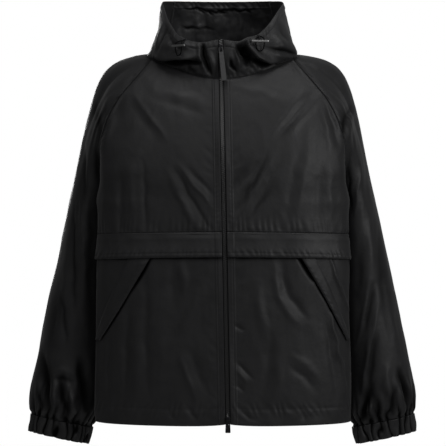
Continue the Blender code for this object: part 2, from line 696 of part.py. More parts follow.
def make_zip(edges, materials, parts):
    """Zip tapes behind the fronts' edges, and the closed chain between them."""
    normals = {}
    for side, edge in edges.items():
        normals[side] = grid_normals(edge)[:, 0] * side
        way = unit(edge[:, 1] - edge[:, 0])
        behind = edge[:, 0] - normals[side] * TAPE_SINK
        tape = np.stack([behind + way * TAPE_INNER, behind + way * TAPE_OUTER], axis=1)
        sheet_object(f"zip_tape_{SIDE_NAMES[side]}", tape, materials["tape"], parts, side,
                     thick=TAPE_CLOTH)
    middle = (edges[LEFT][:, 0] + edges[RIGHT][:, 0]) / 2
    out = unit(normals[LEFT] + normals[RIGHT])
    across = unit(edges[LEFT][:, 0] - edges[RIGHT][:, 0])
    line = middle + out * CHAIN_RISE
    chain = np.stack([line - across * CHAIN_HALF_WIDTH, line + across * CHAIN_HALF_WIDTH], axis=1)
    sheet_object("zip_chain", chain, materials["teeth"], parts, thick=CHAIN_THICK)
    return middle


def box_object(name, sizes, centre, collection):
    """A box of three sizes about a centre, in millimetres."""
    mesh = bpy.data.meshes.new(name)
    work = bmesh.new()
    place = Matrix.Translation(Vector(centre) * MM) @ Matrix.Diagonal((*(Vector(sizes) * MM), 1))
    bmesh.ops.create_cube(work, size=1.0, matrix=place)
    work.to_mesh(mesh)
    work.free()
    thing = bpy.data.objects.new(name, mesh)
    collection.objects.link(thing)
    return thing


def make_cutter(thing):
    """Keep a helper solid out of the model."""
    thing.hide_render = True
    thing.display_type = "WIRE"
    return thing


def combine(thing, other, operation):
    """Join or cut a solid with another."""
    modifier = thing.modifiers.new(operation.lower(), "BOOLEAN")
    modifier.operation = operation
    modifier.solver = "EXACT"
    modifier.object = make_cutter(other)


def rounded_outline(width_top, width_low, top, low, corner):
    """Points of a plate's outline with round corners, from its upper left corner round."""
    points = []
    corners = [(-width_top / 2, top, 90), (-width_low / 2, low, 180),
               (width_low / 2, low, 270), (width_top / 2, top, 0)]
    for x, z, first in corners:
        inward_x = x - math.copysign(corner, x)
        inward_z = z + (corner if z == low else -corner)
        for step in range(CORNER_STEPS + 1):
            turn = math.radians(first + 90 * step / CORNER_STEPS)
            points.append((inward_x + corner * math.cos(turn), inward_z + corner * math.sin(turn)))
    return points


def plate_object(name, outlines, thick, material, collection):
    """A flat plate in X and Z, from an outline and its holes."""
    curve = bpy.data.curves.new(name, "CURVE")
    curve.dimensions = "2D"
    curve.fill_mode = "BOTH"
    curve.extrude = thick / 2 * MM
    for outline in outlines:
        line = curve.splines.new("POLY")
        line.points.add(len(outline) - 1)
        line.use_cyclic_u = True
        for point, (x, z) in zip(line.points, outline):
            point.co = (x * MM, z * MM, 0.0, 1.0)
    curve.materials.append(material)
    thing = bpy.data.objects.new(name, curve)
    collection.objects.link(thing)
    return thing


def make_slider(which, chain_line, materials, parts, cutters):
    """A slider with its bridge, and the pull tab that turns in the bridge."""
    height, length, width_eye, width_end, lean = SLIDERS[which]
    order = np.argsort(chain_line[:, 2])
    x, y = [np.interp(height, chain_line[order, 2], chain_line[order, k]) for k in (0, 1)]
    face = y - CHAIN_RISE - CHAIN_THICK / 2 - SEAM_GAP - SLIDER_DEEP
    axis_y = face - TUNNEL_DEEP / 2
    body = box_object(f"zip_slider_{which}", (SLIDER_WIDE, SLIDER_DEEP, SLIDER_TALL),
                      (x, face + SLIDER_DEEP / 2, height), parts)
    bevel = body.modifiers.new("round", "BEVEL")
    bevel.width = SLIDER_BEVEL * MM
    bevel.segments = 2
    bridge_deep = TUNNEL_DEEP + BRIDGE_BAR + BRIDGE_ROOT
    bridge = box_object(f"bridge_{which}", (BRIDGE_WIDE, bridge_deep, BRIDGE_TALL),
                        (x, face + BRIDGE_ROOT - bridge_deep / 2, height), cutters)
    tunnel = box_object(f"tunnel_{which}", (2 * SLIDER_WIDE, TUNNEL_DEEP, TUNNEL_TALL),
                        (x, axis_y, height), cutters)
    combine(bridge, tunnel, "DIFFERENCE")
    combine(body, bridge, "UNION")
    body.data.materials.append(materials["slider"])

    eye_top = PULL_EYE_BAR / 2
    eye_low = -eye_top - PULL_EYE_TALL
    outer = rounded_outline(width_eye, width_end, eye_top, eye_top - length, PULL_CORNER)
    eye = rounded_outline(PULL_EYE_WIDE, PULL_EYE_WIDE, -eye_top, eye_low, PULL_EYE_CORNER)
    pull = plate_object(f"zip_pull_{which}", [outer, eye], PULL_THICK, materials["pull"], parts)
    pull.rotation_euler = (math.pi / 2, -math.radians(lean), 0.0)
    pull.location = Vector((x, axis_y, height)) * MM


def eyelet_frame(side):
    """Place of an eyelet on its hood side, and the way out of the cloth there."""
    share, up = EYELETS[side][:2]
    ring, shares = neck_ring(side)
    near = np.array([share - 0.01, share, share + 0.01])
    spots = np.stack([np.interp(near, shares, ring[:, k]) for k in range(3)], axis=-1)
    grid = hood_points(spots, near, np.array([up - 0.05, up, up + 0.05]), side)
    out = grid_normals(grid)[1, 1] * np.array((side, 1.0, 1.0))
    return grid[1, 1] * np.array((side, 1.0, 1.0)), out


def cord_frame(side):
    """Where a cord leaves its eyelet, and the turn of its loop about the vertical."""
    spot, out = eyelet_frame(side)
    clear = CLOTH / 2 + SEAM_GAP + 2 * EYELET_WIRE + CORD_RADIUS / 2
    turn = Matrix.Rotation(math.radians(EYELETS[side][2]), 4, "Z")
    return Matrix.Translation(Vector(spot + out * clear) * MM) @ turn


def cord_route(side):
    """The cord's own points in metres: out of the eyelet, round through the bar and back."""
    half = CORD_ROUTE * np.array((1.0, -EYELETS[side][3], 1.0))
    whole = np.concatenate([half, half[::-1] * np.array((-1.0, 1.0, 1.0))])
    place = np.array(cord_frame(side))
    return whole * MM @ place[:3, :3].T + place[:3, 3]


def smooth_route(points, per_span):
    """Points on a smooth curve through a route's own points."""
    keys = np.arange(len(points), dtype=float)
    table = np.concatenate([keys[:, None], points], axis=1)
    return spline(table, np.linspace(0, keys[-1], (len(points) - 1) * per_span + 1))


def make_eyelet(side, materials, parts):
    """The metal ring that a drawcord leaves the hood by."""
    bpy.ops.mesh.primitive_torus_add(
        major_radius=EYELET_RING * MM, minor_radius=EYELET_WIRE * MM,
        major_segments=EYELET_STEPS, minor_segments=EYELET_WIRE_STEPS)
    eyelet = bpy.context.object
    eyelet.name = f"eyelet_{SIDE_NAMES[side]}"
    eyelet.data.name = eyelet.name
    eyelet.data.materials.append(materials["slider"])
    for collection in list(eyelet.users_collection):
        collection.objects.unlink(eyelet)
    parts.objects.link(eyelet)
    spot, out = eyelet_frame(side)
    eyelet.rotation_euler = Vector(out).to_track_quat("Z", "Y").to_euler()
    eyelet.location = Vector(spot + out * (CLOTH / 2 + SEAM_GAP + EYELET_WIRE)) * MM


def make_cord(side, materials, parts):
    """The loop of cord out of an eyelet."""
    name = f"drawcord_{SIDE_NAMES[side]}"
    route = smooth_route(cord_route(side), CORD_STEPS)
    curve = bpy.data.curves.new(name, "CURVE")
    curve.dimensions = "3D"
    curve.bevel_depth = CORD_RADIUS * MM
    curve.bevel_resolution = 2
    curve.use_fill_caps = True
    line = curve.splines.new("POLY")
    line.points.add(len(route) - 1)
    line.points.foreach_set("co", np.c_[route, np.ones(len(route))].ravel())
    curve.materials.append(materials["cord"])
    parts.objects.link(bpy.data.objects.new(name, curve))


def make_bar(side, materials, parts, cutters):
    """The bar that a cord's loop runs through."""
    name = SIDE_NAMES[side]
    bar = box_object(f"cord_bar_{name}", (BAR_LONG, BAR_DEEP, BAR_TALL), (0, 0, 0), parts)
    bevel = bar.modifiers.new("round", "BEVEL")
    bevel.width = BAR_BEVEL * MM
    bevel.segments = 2
    bar.data.materials.append(materials["bar"])
    hang = Matrix.Translation(Vector((0.0, -EYELETS[side][3], BAR_DROP)) * MM)
    bar.matrix_world = cord_frame(side) @ hang
    for x in (-BAR_HOLE_X, BAR_HOLE_X):
        mesh = bpy.data.meshes.new(f"cord_hole_{name}")
        work = bmesh.new()
        bmesh.ops.create_cone(work, cap_ends=True, segments=HOLE_STEPS, depth=3 * BAR_TALL * MM,
                              radius1=BAR_HOLE_RADIUS * MM, radius2=BAR_HOLE_RADIUS * MM)
        work.to_mesh(mesh)
        work.free()
        hole = bpy.data.objects.new(mesh.name, mesh)
        cutters.objects.link(hole)
        hole.matrix_world = bar.matrix_world @ Matrix.Translation((x * MM, 0, 0))
        combine(bar, hole, "DIFFERENCE")


def main():
    """Build the jacket."""
    clear_scene()
    parts = new_collection("hooded_zip_jacket")
    cutters = new_collection("cutters")
    materials = {
        "cloth": finish_material("cloth_black", CLOTH_BLACK),
        "tape": finish_material("tape_black", TAPE_BLACK),
        "teeth": finish_material("teeth_black", TEETH_BLACK),
        "slider": finish_material("slider_grey", SLIDER_GREY),
        "pull": finish_material("pull_grey", PULL_GREY),
        "bar": finish_material("bar_silver", BAR_SILVER),
        "cord": finish_material("cord_black", CORD_BLACK),
    }
    cloth = materials["cloth"]
    back, hood_centre = shared_panels()
    panels = {side: side_panels(side) for side in SIDE_NAMES}
    zip_edges = {side: zip_edge(panels[side]) for side in SIDE_NAMES}
    open_seam((back[-1], back[-2]), (hood_centre[0], hood_centre[1]))
    for side, name in SIDE_NAMES.items():
        open_side_seams(side, panels[side], back, hood_centre)
        for panel, grid in panels[side].items():
            sheet_object(f"{panel}_{name}", grid, cloth, parts, side, panel == "sleeve")
        sheet_object(f"storm_flap_{name}", flap_grid(side), cloth, parts, side)
        sheet_object(f"pocket_flap_{name}", pocket_grid(side), cloth, parts, side)
        sheet_object(f"cuff_{name}", cuff_grid(side), cloth, parts, side, True, CUFF_CLOTH)
        make_eyelet(side, materials, parts)
        make_cord(side, materials, parts)
        make_bar(side, materials, parts, cutters)
    sheet_object("back", back, cloth, parts)
    sheet_object("hood_centre", hood_centre, cloth, parts)
    chain_line = make_zip(zip_edges, materials, parts)
    for which in SLIDERS:
        make_slider(which, chain_line, materials, parts, cutters)


main()
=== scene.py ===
"""Looks of the hooded zip jacket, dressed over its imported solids.

The jacket faces -Y, its wearer's left is +X, and the origin is the middle of the neck at the
height of the shoulders. Tables are in millimetres and degrees. Folds on the front are placed as
they are seen in the picture, in picture points: 446 across, from its upper left corner.
"""

import logging
import math
from dataclasses import dataclass, field, replace
from enum import Enum
from itertools import product

import bpy
import numpy as np
from mathutils import Matrix, Vector


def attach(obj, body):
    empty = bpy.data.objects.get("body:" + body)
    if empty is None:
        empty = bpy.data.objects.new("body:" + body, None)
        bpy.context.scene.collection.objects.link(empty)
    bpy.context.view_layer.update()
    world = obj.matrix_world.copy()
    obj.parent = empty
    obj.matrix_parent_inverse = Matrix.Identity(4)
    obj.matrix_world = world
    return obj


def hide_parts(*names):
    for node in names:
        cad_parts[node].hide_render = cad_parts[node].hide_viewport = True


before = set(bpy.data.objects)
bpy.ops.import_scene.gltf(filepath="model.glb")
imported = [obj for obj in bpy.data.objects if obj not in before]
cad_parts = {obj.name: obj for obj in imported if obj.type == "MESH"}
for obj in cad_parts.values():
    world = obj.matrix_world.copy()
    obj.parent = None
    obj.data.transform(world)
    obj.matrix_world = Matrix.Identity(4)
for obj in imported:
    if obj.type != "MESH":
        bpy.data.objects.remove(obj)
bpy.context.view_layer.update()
LOG = logging.getLogger("jacket")
Array = np.ndarray
Pair = tuple[float, float]
Triple = tuple[float, float, float]
Material = bpy.types.Material
Socket = bpy.types.NodeSocket
Thing = bpy.types.Object
MM = 0.001

# A front section runs from the zip to the side seam, or to the raglan seam above the underarm.
# Columns: height and depth at the zip, reach of its flat start, end x y z, end handle x y z
FRONT_SECTIONS = np.array([
    (-708, -139, 135, 231, 2, -706, 64, -108, 0),
    (-675, -140, 135, 228, 2, -677, 76, -110, 0),
    (-590, -141, 135, 216, 3, -594, 100, -112, 0),
    (-490, -142, 135, 202, 5, -496, 122, -115, 0),
    (-395, -142, 135, 192, 8, -402, 142, -119, 0),
    (-345, -142, 135, 190, 12, -350, 144, -121, 0),
    (-280, -140, 132, 190, 12, -280, 144, -120, 0),
    (-245, -139, 126, 214, -34, -247, 85, -82, 0),
    (-212, -137, 118, 230, -62, -214, 28, -55, 0),
    (-180, -134, 110, 235, -76, -179, -10, -38, 0),
    (-140, -127, 100, 224, -83, -134, -40, -27, 2),
    (-108, -119, 85, 202, -81, -89, -48, -23, -2),
    (-78, -109, 68, 170, -68, -48, -44, -22, -12),
    (-48, -98, 50, 136.5, -42, -6, -38, -30, -16),
], dtype=float)

# A back section runs from the centre back to the same seams, with the same columns
BACK_SECTIONS = np.array([
    (-708, 137, 125, 231, 2, -706, 32, 128, 0),
    (-675, 138, 125, 228, 2, -677, 38, 130, 0),
    (-590, 140, 122, 216, 3, -594, 46, 135, 0),
    (-490, 141, 118, 202, 5, -496, 46, 135, 0),
    (-395, 141, 115, 192, 8, -402, 46, 132, 0),
    (-345, 141, 115, 190, 12, -350, 45, 130, 0),
    (-280, 140, 115, 190, 12, -280, 44, 130, 0),
    (-245, 139, 112, 209, 48, -246, 26, 88, 0),
    (-212, 137, 108, 219, 76, -213, 5, 54, 0),
    (-180, 134, 102, 220, 94, -179, -22, 36, 0),
    (-140, 128, 92, 210, 106, -138, -42, 24, 2),
    (-100, 119, 80, 188, 109, -94, -48, 16, 5),
    (-60, 107, 66, 158, 103, -52, -46, 10, 6),
    (-20, 94, 52, 125, 90, -14, -40, 7, 5),
    (14, 84, 34, 96, 76, 12, -34, 8, 2),
], dtype=float)

# The neck edge of a sleeve bows out between its two raglan seams
NECK_EDGE_FRONT_HANDLE = np.array((26.0, 21.0, 11.0))
NECK_EDGE_BACK_HANDLE = np.array((34.0, -10.0, 2.0))

# Sleeve rings, square to the arm. Columns: outer z, outer x, inner x, middle y, half depth
SLEEVE_RINGS = np.array([
    (-698, 377, 256, 13, 31),
    (-688, 379, 250, 14, 40),
    (-665, 377, 243, 16, 49),
    (-625, 371, 239, 19, 55),
    (-550, 357, 233, 24, 61),
    (-460, 339, 227, 29, 67),
    (-365, 320, 223, 34, 73),
    (-275, 302, 221, 36, 77),
], dtype=float)
CUFF_RINGS = np.array([
    (-732, 379, 265, 13, 24),
    (-715, 377, 260, 13, 25),
    (-699, 375, 257, 13, 28),
], dtype=float)

# Hood meridians from the neck seam to the rim, by their share of the way from the zip to the
# centre back. Columns: share, rim x y z, handle at the neck x y z, belly from the middle of the
# neck and rim x y z, handle at the rim x y z
HOOD_MERIDIANS = np.array([
    (0.00, 5, -105, 26, 0, -5, 18, 0, -8, 0, 0, -2, -18),
    (0.12, 38, -102, 22, 0, -9, 16, 0, -14, 0, 0, -6, -16),
    (0.22, 66, -92, 29, 3, -13, 18, 6, -20, 0, 3, -11, -18),
    (0.30, 82, -79, 36, 7, -14, 20, 14, -22, 0, 7, -14, -20),
    (0.40, 97, -52, 60, 8, -10, 24, 14, -14, -2, 11, -10, -26),
    (0.50, 111, -16, 92, -4, -3, 28, 8, -3, -2, 10, -2, -30),
    (0.57, 119, 14, 109, -5, 6, 30, 5, 6, -4, 11, 6, -32),
    (0.68, 112, 62, 118, 7, 20, 36, 16, 30, -60, 20, 36, -60),
    (0.80, 76, 102, 122, 16, 30, 56, 22, 60, -210, 18, 66, -112),
    (0.92, 30, 116, 123, 8, 30, 68, 10, 78, -360, 9, 74, -136),
    (1.00, 0, 118, 123, 0, 30, 70, 0, 82, -385, 0, 76, -142),
], dtype=float)

# Half of a drawcord's loop from the front of its eyelet: beside it, share of the way out, down
CORD_ROUTE = np.array([
    (1.75, 0.00, 0.0),
    (2.4, 0.35, -0.9),
    (4.2, 0.66, -2.6),
    (6.6, 0.91, -4.6),
    (7.9, 1.00, -6.9),
    (8.0, 1.00, -9.5),
    (8.0, 1.00, -13.2),
    (7.8, 1.00, -17.6),
    (6.8, 1.00, -23.0),
    (4.6, 1.00, -27.2),
    (1.8, 1.00, -29.4),
])


class Side(Enum):
    """The wearer's two sides."""

    LEFT = 1
    RIGHT = -1

    @property
    def word(self) -> str:
        """The side's name in piece names."""
        return self.name.lower()

    @property
    def mirror(self) -> Array:
        """What turns points of the left side into this side's."""
        return np.array((self.value, 1.0, 1.0))


class Edge(Enum):
    """Edges of a sheet: its first and last columns, and its first and last rows."""

    START = "first column"
    END = "last column"
    LOW = "first row"
    HIGH = "last row"

    @property
    def upright(self) -> bool:
        """Whether the edge is a column."""
        return self in (Edge.START, Edge.END)


# A sharp fold's crest: how fast it falls, the square that rounds its top, and that square's root
CREST_FALL = 1.5
CREST_ROUND = 0.06
CREST_TOP = 0.245


class FoldShape(Enum):
    """How a fold is rounded across its line."""

    ROUND = "round"
    SHARP = "sharp"

    def profile(self, ratio: Array) -> Array:
        """Height from 1 on the line down to 0, as a bell or as a rounded crest.

        Args:
            ratio: distance from the line over the fold's half width.
        Returns:
            The share of the fold's full height.
        """
        if self is FoldShape.ROUND:
            return np.exp(-ratio ** 2)
        return np.exp(-CREST_FALL * (np.sqrt(ratio ** 2 + CREST_ROUND) - CREST_TOP))


@dataclass(frozen=True)
class Fold:
    """A ridge (+) or trough (-) along a line, given as two coordinates of each point in turn.

    The half width is in the units of the line, and the height is in millimetres.
    """

    half_width: float
    height: float
    line: tuple[float, ...]
    shape: FoldShape = FoldShape.ROUND


LEFT, RIGHT = Side
START, END, LOW, HIGH = Edge
SHARP = FoldShape.SHARP

# How each side's hood rim departs from the meridians. Columns: share, out from the centre, up
HOOD_RIM_SHIFTS = {
    LEFT: np.array([
        (0.00, 0.0, 0.0),
        (0.05, -1.5, 0.0),
        (0.12, -7.0, 1.0),
        (0.20, -14.0, 3.6),
        (0.30, -15.5, 1.4),
        (0.40, -8.5, 0.0),
        (0.50, -2.0, 0.0),
        (0.57, 0.0, 0.0),
        (1.00, 0.0, 0.0),
    ]),
    RIGHT: np.array([
        (0.00, 0.0, 0.0),
        (0.10, 0.5, -0.6),
        (0.20, 3.4, -2.2),
        (0.26, 3.0, 0.0),
        (0.34, 2.0, 0.0),
        (0.46, 3.4, 0.0),
        (0.57, 0.0, 0.0),
        (1.00, 0.0, 0.0),
    ]),
}

# Folds of each front in picture points
FRONT_FOLDS = {RIGHT: (
    Fold(2.6, 2.2, (134.6, 95.6, 150, 116, 167, 140), SHARP),
    Fold(4.5, -1.2, (128, 98, 146, 124, 160, 146)),
    Fold(5, 2.2, (148, 88, 178, 95, 207, 104)),
    Fold(4, -1.8, (150, 99, 180, 106, 205, 116)),
    Fold(3.5, 2.6, (114, 116, 103, 146)),
    Fold(3, -3.2, (142.7, 161, 145, 200, 145.5, 231), SHARP),
    Fold(3, -2.2, (121, 175, 121, 234)),
    Fold(4, 1.8, (131, 165, 133, 226)),
    Fold(2.8, -2.6, (174, 168, 192, 199, 209, 230), SHARP),
    Fold(2.6, 2.4, (178, 165, 196, 187, 213, 208), SHARP),
    Fold(3.4, 2.4, (168, 172, 184, 204, 198, 230)),
    Fold(2.4, -2, (188, 168, 202, 182, 213, 194)),
    Fold(4, -2.6, (144.6, 262, 146, 330, 147, 396)),
    Fold(3.5, -2.4, (128, 306, 124, 396)),
    Fold(5, 2, (136, 318, 136, 400)),
    Fold(4, 2.8, (182.6, 260, 183.6, 293)),
    Fold(4, -1.8, (172, 262, 172, 300)),
    Fold(4.6, 2.8, (202, 288, 190, 310, 180, 332)),
    Fold(4.2, 3, (180, 354, 188, 380, 196, 402), SHARP),
    Fold(4.4, -2.2, (190, 350, 198, 374, 206, 396)),
    Fold(6, -2, (206, 300, 196, 330, 190, 350)),
    Fold(2.4, -2.4, (110, 338, 107, 399), SHARP),
    Fold(7, 1.8, (163, 300, 160, 385)),
    Fold(2.2, -1.8, (186, 404, 198, 424)),
    Fold(2.2, -1.6, (168, 408, 176, 425)),
), LEFT: (
    Fold(2.6, -2, (312, 94, 296, 112, 278, 136), SHARP),
    Fold(2.6, 1.8, (304, 92, 288, 112, 270, 138), SHARP),
    Fold(3.6, 2.2, (320, 97, 304, 116, 288, 136)),
    Fold(2.8, -2.6, (268, 155, 252, 184, 235, 214), SHARP),
    Fold(2.8, 2.6, (274, 154, 256, 186, 235, 224), SHARP),
    Fold(2.8, -2.4, (258, 161, 246, 178, 234, 196)),
    Fold(4, -2, (282, 158, 268, 186, 250, 222)),
    Fold(5, 1.5, (311, 130, 305, 170, 298, 212)),
    Fold(4.4, -1.3, (298, 150, 293, 180, 286, 222)),
    Fold(3, -2.8, (326, 101, 334, 122, 339, 147)),
    Fold(3.2, 2.2, (320, 108, 327, 128, 331, 152)),
    Fold(4.5, -1.8, (322, 160, 319, 190, 316, 226)),
    Fold(4, 1.8, (330, 165, 330, 228)),
    Fold(4, 1.6, (236, 88, 262, 92, 286, 104)),
    Fold(3.6, -3, (282, 260, 283, 275, 286, 288, 291, 299, 298, 309, 307, 319)),
    Fold(3.6, 2.4, (274, 262, 275, 280, 279, 297, 287, 312, 300, 326)),
    Fold(2, 5, (331, 308, 334, 330, 337, 350, 346, 398), SHARP),
    Fold(1.5, 5, (329.5, 256, 338, 283, 347, 311), SHARP),
    Fold(3.4, -2.6, (325, 316, 329, 345, 337, 398)),
    Fold(4.6, 2.6, (258, 284, 259, 314, 266, 338)),
    Fold(5, -2.4, (270, 332, 269, 358, 266, 390)),
    Fold(5, 1.8, (280, 345, 278, 395)),
    Fold(1.9, -3, (234, 324, 246, 331), SHARP),
    Fold(1.9, -3.4, (237, 363, 252, 380), SHARP),
    Fold(1.9, -2.2, (236, 384, 245, 392), SHARP),
    Fold(2, 2, (236, 370, 247, 384), SHARP),
    Fold(4, 2, (292, 356, 308, 365, 320, 381)),
    Fold(3.6, -1.8, (290, 366, 304, 376, 314, 392)),
    Fold(2, -3, (242, 412, 250, 418, 259, 421), SHARP),
    Fold(2, -2.4, (238, 419, 252, 425), SHARP),
    Fold(2.2, -1.6, (300, 408, 306, 424)),
)}

# Mouths of the pockets behind their flaps' free edges, in picture points
POCKET_MOUTHS = {RIGHT: (
    Fold(1.8, -9, (151, 256, 142, 272, 131, 290)),
    Fold(1.2, -5, (133, 287, 119, 310, 102, 337)),
), LEFT: (
    Fold(2.2, -14, (297, 252, 304, 263, 313.5, 279)),
    Fold(1.2, -6, (310, 273, 328, 302, 346, 339)),
)}

# Folds of the back by their x and z, in millimetres
BACK_FOLDS = (
    Fold(9, -4.2, (152, -150, 110, -225, 70, -300), SHARP),
    Fold(9, 3.4, (138, -135, 92, -220, 50, -318)),
    Fold(9, -4.6, (-140, -140, -98, -220, -55, -312), SHARP),
    Fold(8, 3, (-160, -170, -118, -250, -80, -330)),
    Fold(10, -4, (120, -335, 124, -480, 135, -645)),
    Fold(10, 3.5, (32, -360, 22, -460, 10, -560), SHARP),
    Fold(9, -3, (-4, -390, -16, -500, -20, -640)),
    Fold(10, -4, (-60, -420, -72, -560, -85, -695)),
    Fold(11, 3.5, (-150, -330, -156, -470, -160, -605)),
    Fold(8, -2.6, (78, -520, 92, -610, 96, -690)),
    Fold(12, 2.4, (-70, -60, 0, -78, 70, -58)),
    Fold(10, -2.2, (-84, -92, 0, -112, 84, -90)),
)

# Lines of painted shade on each upper front, in picture points; no fold is raised along them
CHEST_PAINTED_SHADE = {RIGHT: (
    Fold(2.6, -1.6, (176, 172, 193, 201, 208, 229)),
), LEFT: (
    Fold(2.6, -2.4, (268.5, 157.4, 254, 181.6, 236.6, 208.7)),
    Fold(2.6, -2, (270.5, 187.4, 261.8, 201, 249.2, 218.4)),
    Fold(4, -1.4, (252, 160, 242, 172, 234, 184)),
    Fold(1.8, -2, (303, 111, 293, 124, 283, 137)),
)}

# Lines of painted shade on each sleeve's front half, in picture points; no fold is raised along them
SLEEVE_PAINTED_SHADE = {RIGHT: (
    Fold(2.6, -6, (95, 103, 97, 115, 98, 128)),
    Fold(4.4, -5.5, (98, 126, 98.7, 143, 99, 158, 98.5, 176)),
), LEFT: (
    Fold(1.6, -4, (344, 120, 342, 130, 340, 142)),
)}

# Folds of each sleeve's front half, in picture points
SLEEVE_FOLDS = {RIGHT: (
    Fold(2.4, 7, (52, 376, 54, 396, 58, 414), SHARP),
    Fold(2.4, 7, (66, 376, 70, 396, 76, 415), SHARP),
    Fold(4, -7, (59, 380, 62, 398, 67, 415)),
    Fold(4.2, -7.5, (80, 360, 84, 390, 88, 416)),
    Fold(4, -7, (43, 350, 46, 380, 50, 412)),
    Fold(3.2, 1.6, (50, 374, 61, 370, 76, 376)),
    Fold(3, -4, (54, 381, 62, 377, 71, 382)),
    Fold(2.6, 2.4, (38, 372, 38, 410), SHARP),
    Fold(3, 2.6, (88, 352, 93, 380, 94, 410)),
    Fold(2.2, -3.4, (73.5, 200, 73.5, 260, 75, 313), SHARP),
    Fold(2.6, 2.8, (80, 190, 82, 230, 85, 275), SHARP),
    Fold(2.2, -3.2, (61.5, 292, 64, 315, 67, 342), SHARP),
    Fold(2.2, -3, (84, 146, 84, 170, 85, 204), SHARP),
    Fold(4, 2.4, (70, 222, 65, 280, 60, 345)),
    Fold(4, -2.2, (91, 190, 91, 260, 92, 345)),
    Fold(4.5, 2, (86, 170, 85, 240, 83, 320)),
    Fold(4, -2, (60, 286, 54, 322, 50, 350)),
    Fold(3.6, 2, (112, 82, 106, 98, 103, 112)),
    Fold(4, -2, (104, 96, 98, 122, 94, 150)),
    Fold(4, 1.8, (97, 100, 89, 140, 84, 180)),
    Fold(4, -1.8, (84, 150, 79, 190, 76, 225)),
), LEFT: (
    Fold(2.8, 4.2, (371, 328, 367, 358, 361, 394), SHARP),
    Fold(2.8, 3.8, (379, 303, 372, 340, 364, 378), SHARP),
    Fold(3, -3.6, (376, 334, 371, 366, 367, 392)),
    Fold(2.6, 3, (369, 278, 364, 310, 358, 344), SHARP),
    Fold(2.8, -3, (374, 284, 369, 312, 363, 336)),
    Fold(3, -8, (399, 370, 403, 386, 409, 406)),
    Fold(3.4, 5, (385, 366, 387, 388, 390, 408)),
    Fold(3.6, -8.5, (371, 386, 366, 404, 360, 424)),
    Fold(2.6, 4, (372, 398, 369, 414, 371, 424), SHARP),
    Fold(2.8, -7, (376, 398, 378, 410, 379, 424)),
    Fold(2.4, -6, (394, 388, 393, 400, 393, 416)),
    Fold(2.6, 3, (407, 380, 408, 396, 410, 414), SHARP),
    Fold(4, -2, (362, 240, 360, 275, 357, 305)),
    Fold(4, 2.2, (370, 210, 371, 250, 372, 290)),
    Fold(4, -2.2, (378, 230, 382, 280, 388, 330)),
    Fold(4, 2, (388, 290, 393, 330, 398, 362)),
    Fold(2.6, -4, (350, 106, 345, 118, 341, 132), SHARP),
    Fold(2.8, 3, (354, 104, 350, 120, 347, 140)),
    Fold(2.4, 3.2, (360, 162, 357, 188, 355, 214), SHARP),
    Fold(2.4, -3.6, (349, 170, 349, 190, 350.5, 212), SHARP),
    Fold(3.6, 2, (334, 84, 340, 98, 346, 112)),
    Fold(4, 1.8, (357, 150, 360, 180, 363, 214)),
)}

# Folds of each sleeve's back half as angle round the arm and outer height
SLEEVE_BACK_FOLDS = {RIGHT: (
    Fold(14, -4, (250, -340, 266, -470, 280, -600)),
    Fold(12, 3.6, (315, -400, 322, -530, 325, -670), SHARP),
    Fold(11, 3.4, (225, -500, 232, -590, 230, -680), SHARP),
    Fold(11, -3.4, (296, -520, 300, -610, 296, -690)),
), LEFT: (
    Fold(14, -4, (250, -330, 272, -460, 290, -600)),
    Fold(12, 3.6, (320, -420, 310, -540, 300, -660), SHARP),
    Fold(11, 3.2, (232, -480, 228, -580, 236, -685), SHARP),
    Fold(11, -3.4, (262, -580, 268, -640, 262, -692)),
)}

# Folds of each hood side in picture points
HOOD_FOLDS = {RIGHT: (
    Fold(2.8, -16, (150, 60, 165, 63.5, 185, 62, 201, 63)),
    Fold(3, 8, (150, 52, 166, 55, 186, 53.5, 199, 54.5)),
    Fold(1.8, 4.5, (165, 20, 158.5, 34, 154, 50), SHARP),
    Fold(1.8, -3.4, (168.5, 24, 162, 38, 157.5, 51)),
    Fold(2, -18, (203, 44, 204, 54, 207, 64, 211, 74)),
    Fold(2.8, 5, (198, 44, 200, 54, 204, 66, 206, 74)),
    Fold(2.4, 3, (208, 46, 211, 58, 214, 70)),
    Fold(2.4, -3, (168, 30, 172, 42, 182, 50)),
    Fold(2.2, 2.4, (178, 42, 186, 46, 196, 47), SHARP),
    Fold(2.4, -3, (186, 64, 190, 70, 196, 75)),
), LEFT: (
    Fold(5, -28, (242, 43, 243, 51, 248, 60)),
    Fold(3.4, -12, (242, 50, 245, 58, 250, 66)),
    Fold(2.8, -12, (250, 60, 262, 63.5, 274, 65)),
    Fold(2.6, 8, (248, 38, 250, 46, 258, 53, 270, 57.5, 278, 59)),
    Fold(1.6, -10, (230, 58, 232, 66, 237, 72), SHARP),
    Fold(2, 5, (236, 47, 237, 57, 240, 68)),
    Fold(2.2, -7, (266, 45, 282, 50, 297, 55), SHARP),
    Fold(2.6, 4, (270, 52, 284, 56, 296, 59)),
    Fold(2.6, 3, (272, 30, 280, 42, 290, 49)),
    Fold(2.2, -2.8, (277, 22, 283, 34, 292, 44)),
    Fold(2.4, -3, (256, 66, 266, 68, 280, 66)),
)}

# Rolls of each hood side that sag over the neck seam, in picture points: how far they sag
HOOD_SAGS = {
    RIGHT: (Fold(3.8, 9, (148, 53, 166, 55, 186, 53, 202, 54)),),
    LEFT: (Fold(3.4, 8, (248, 45, 257, 53, 270, 57.5, 286, 59.5)),),
}

# Where each hood side is tucked in towards the centre, in picture points: how far
HOOD_TUCKS = {
    RIGHT: (Fold(7, 8, (158, 8, 153, 26, 149, 42, 146, 62)),),
    LEFT: (Fold(5, 2, (292, 22, 296, 36, 300, 54)),),
}
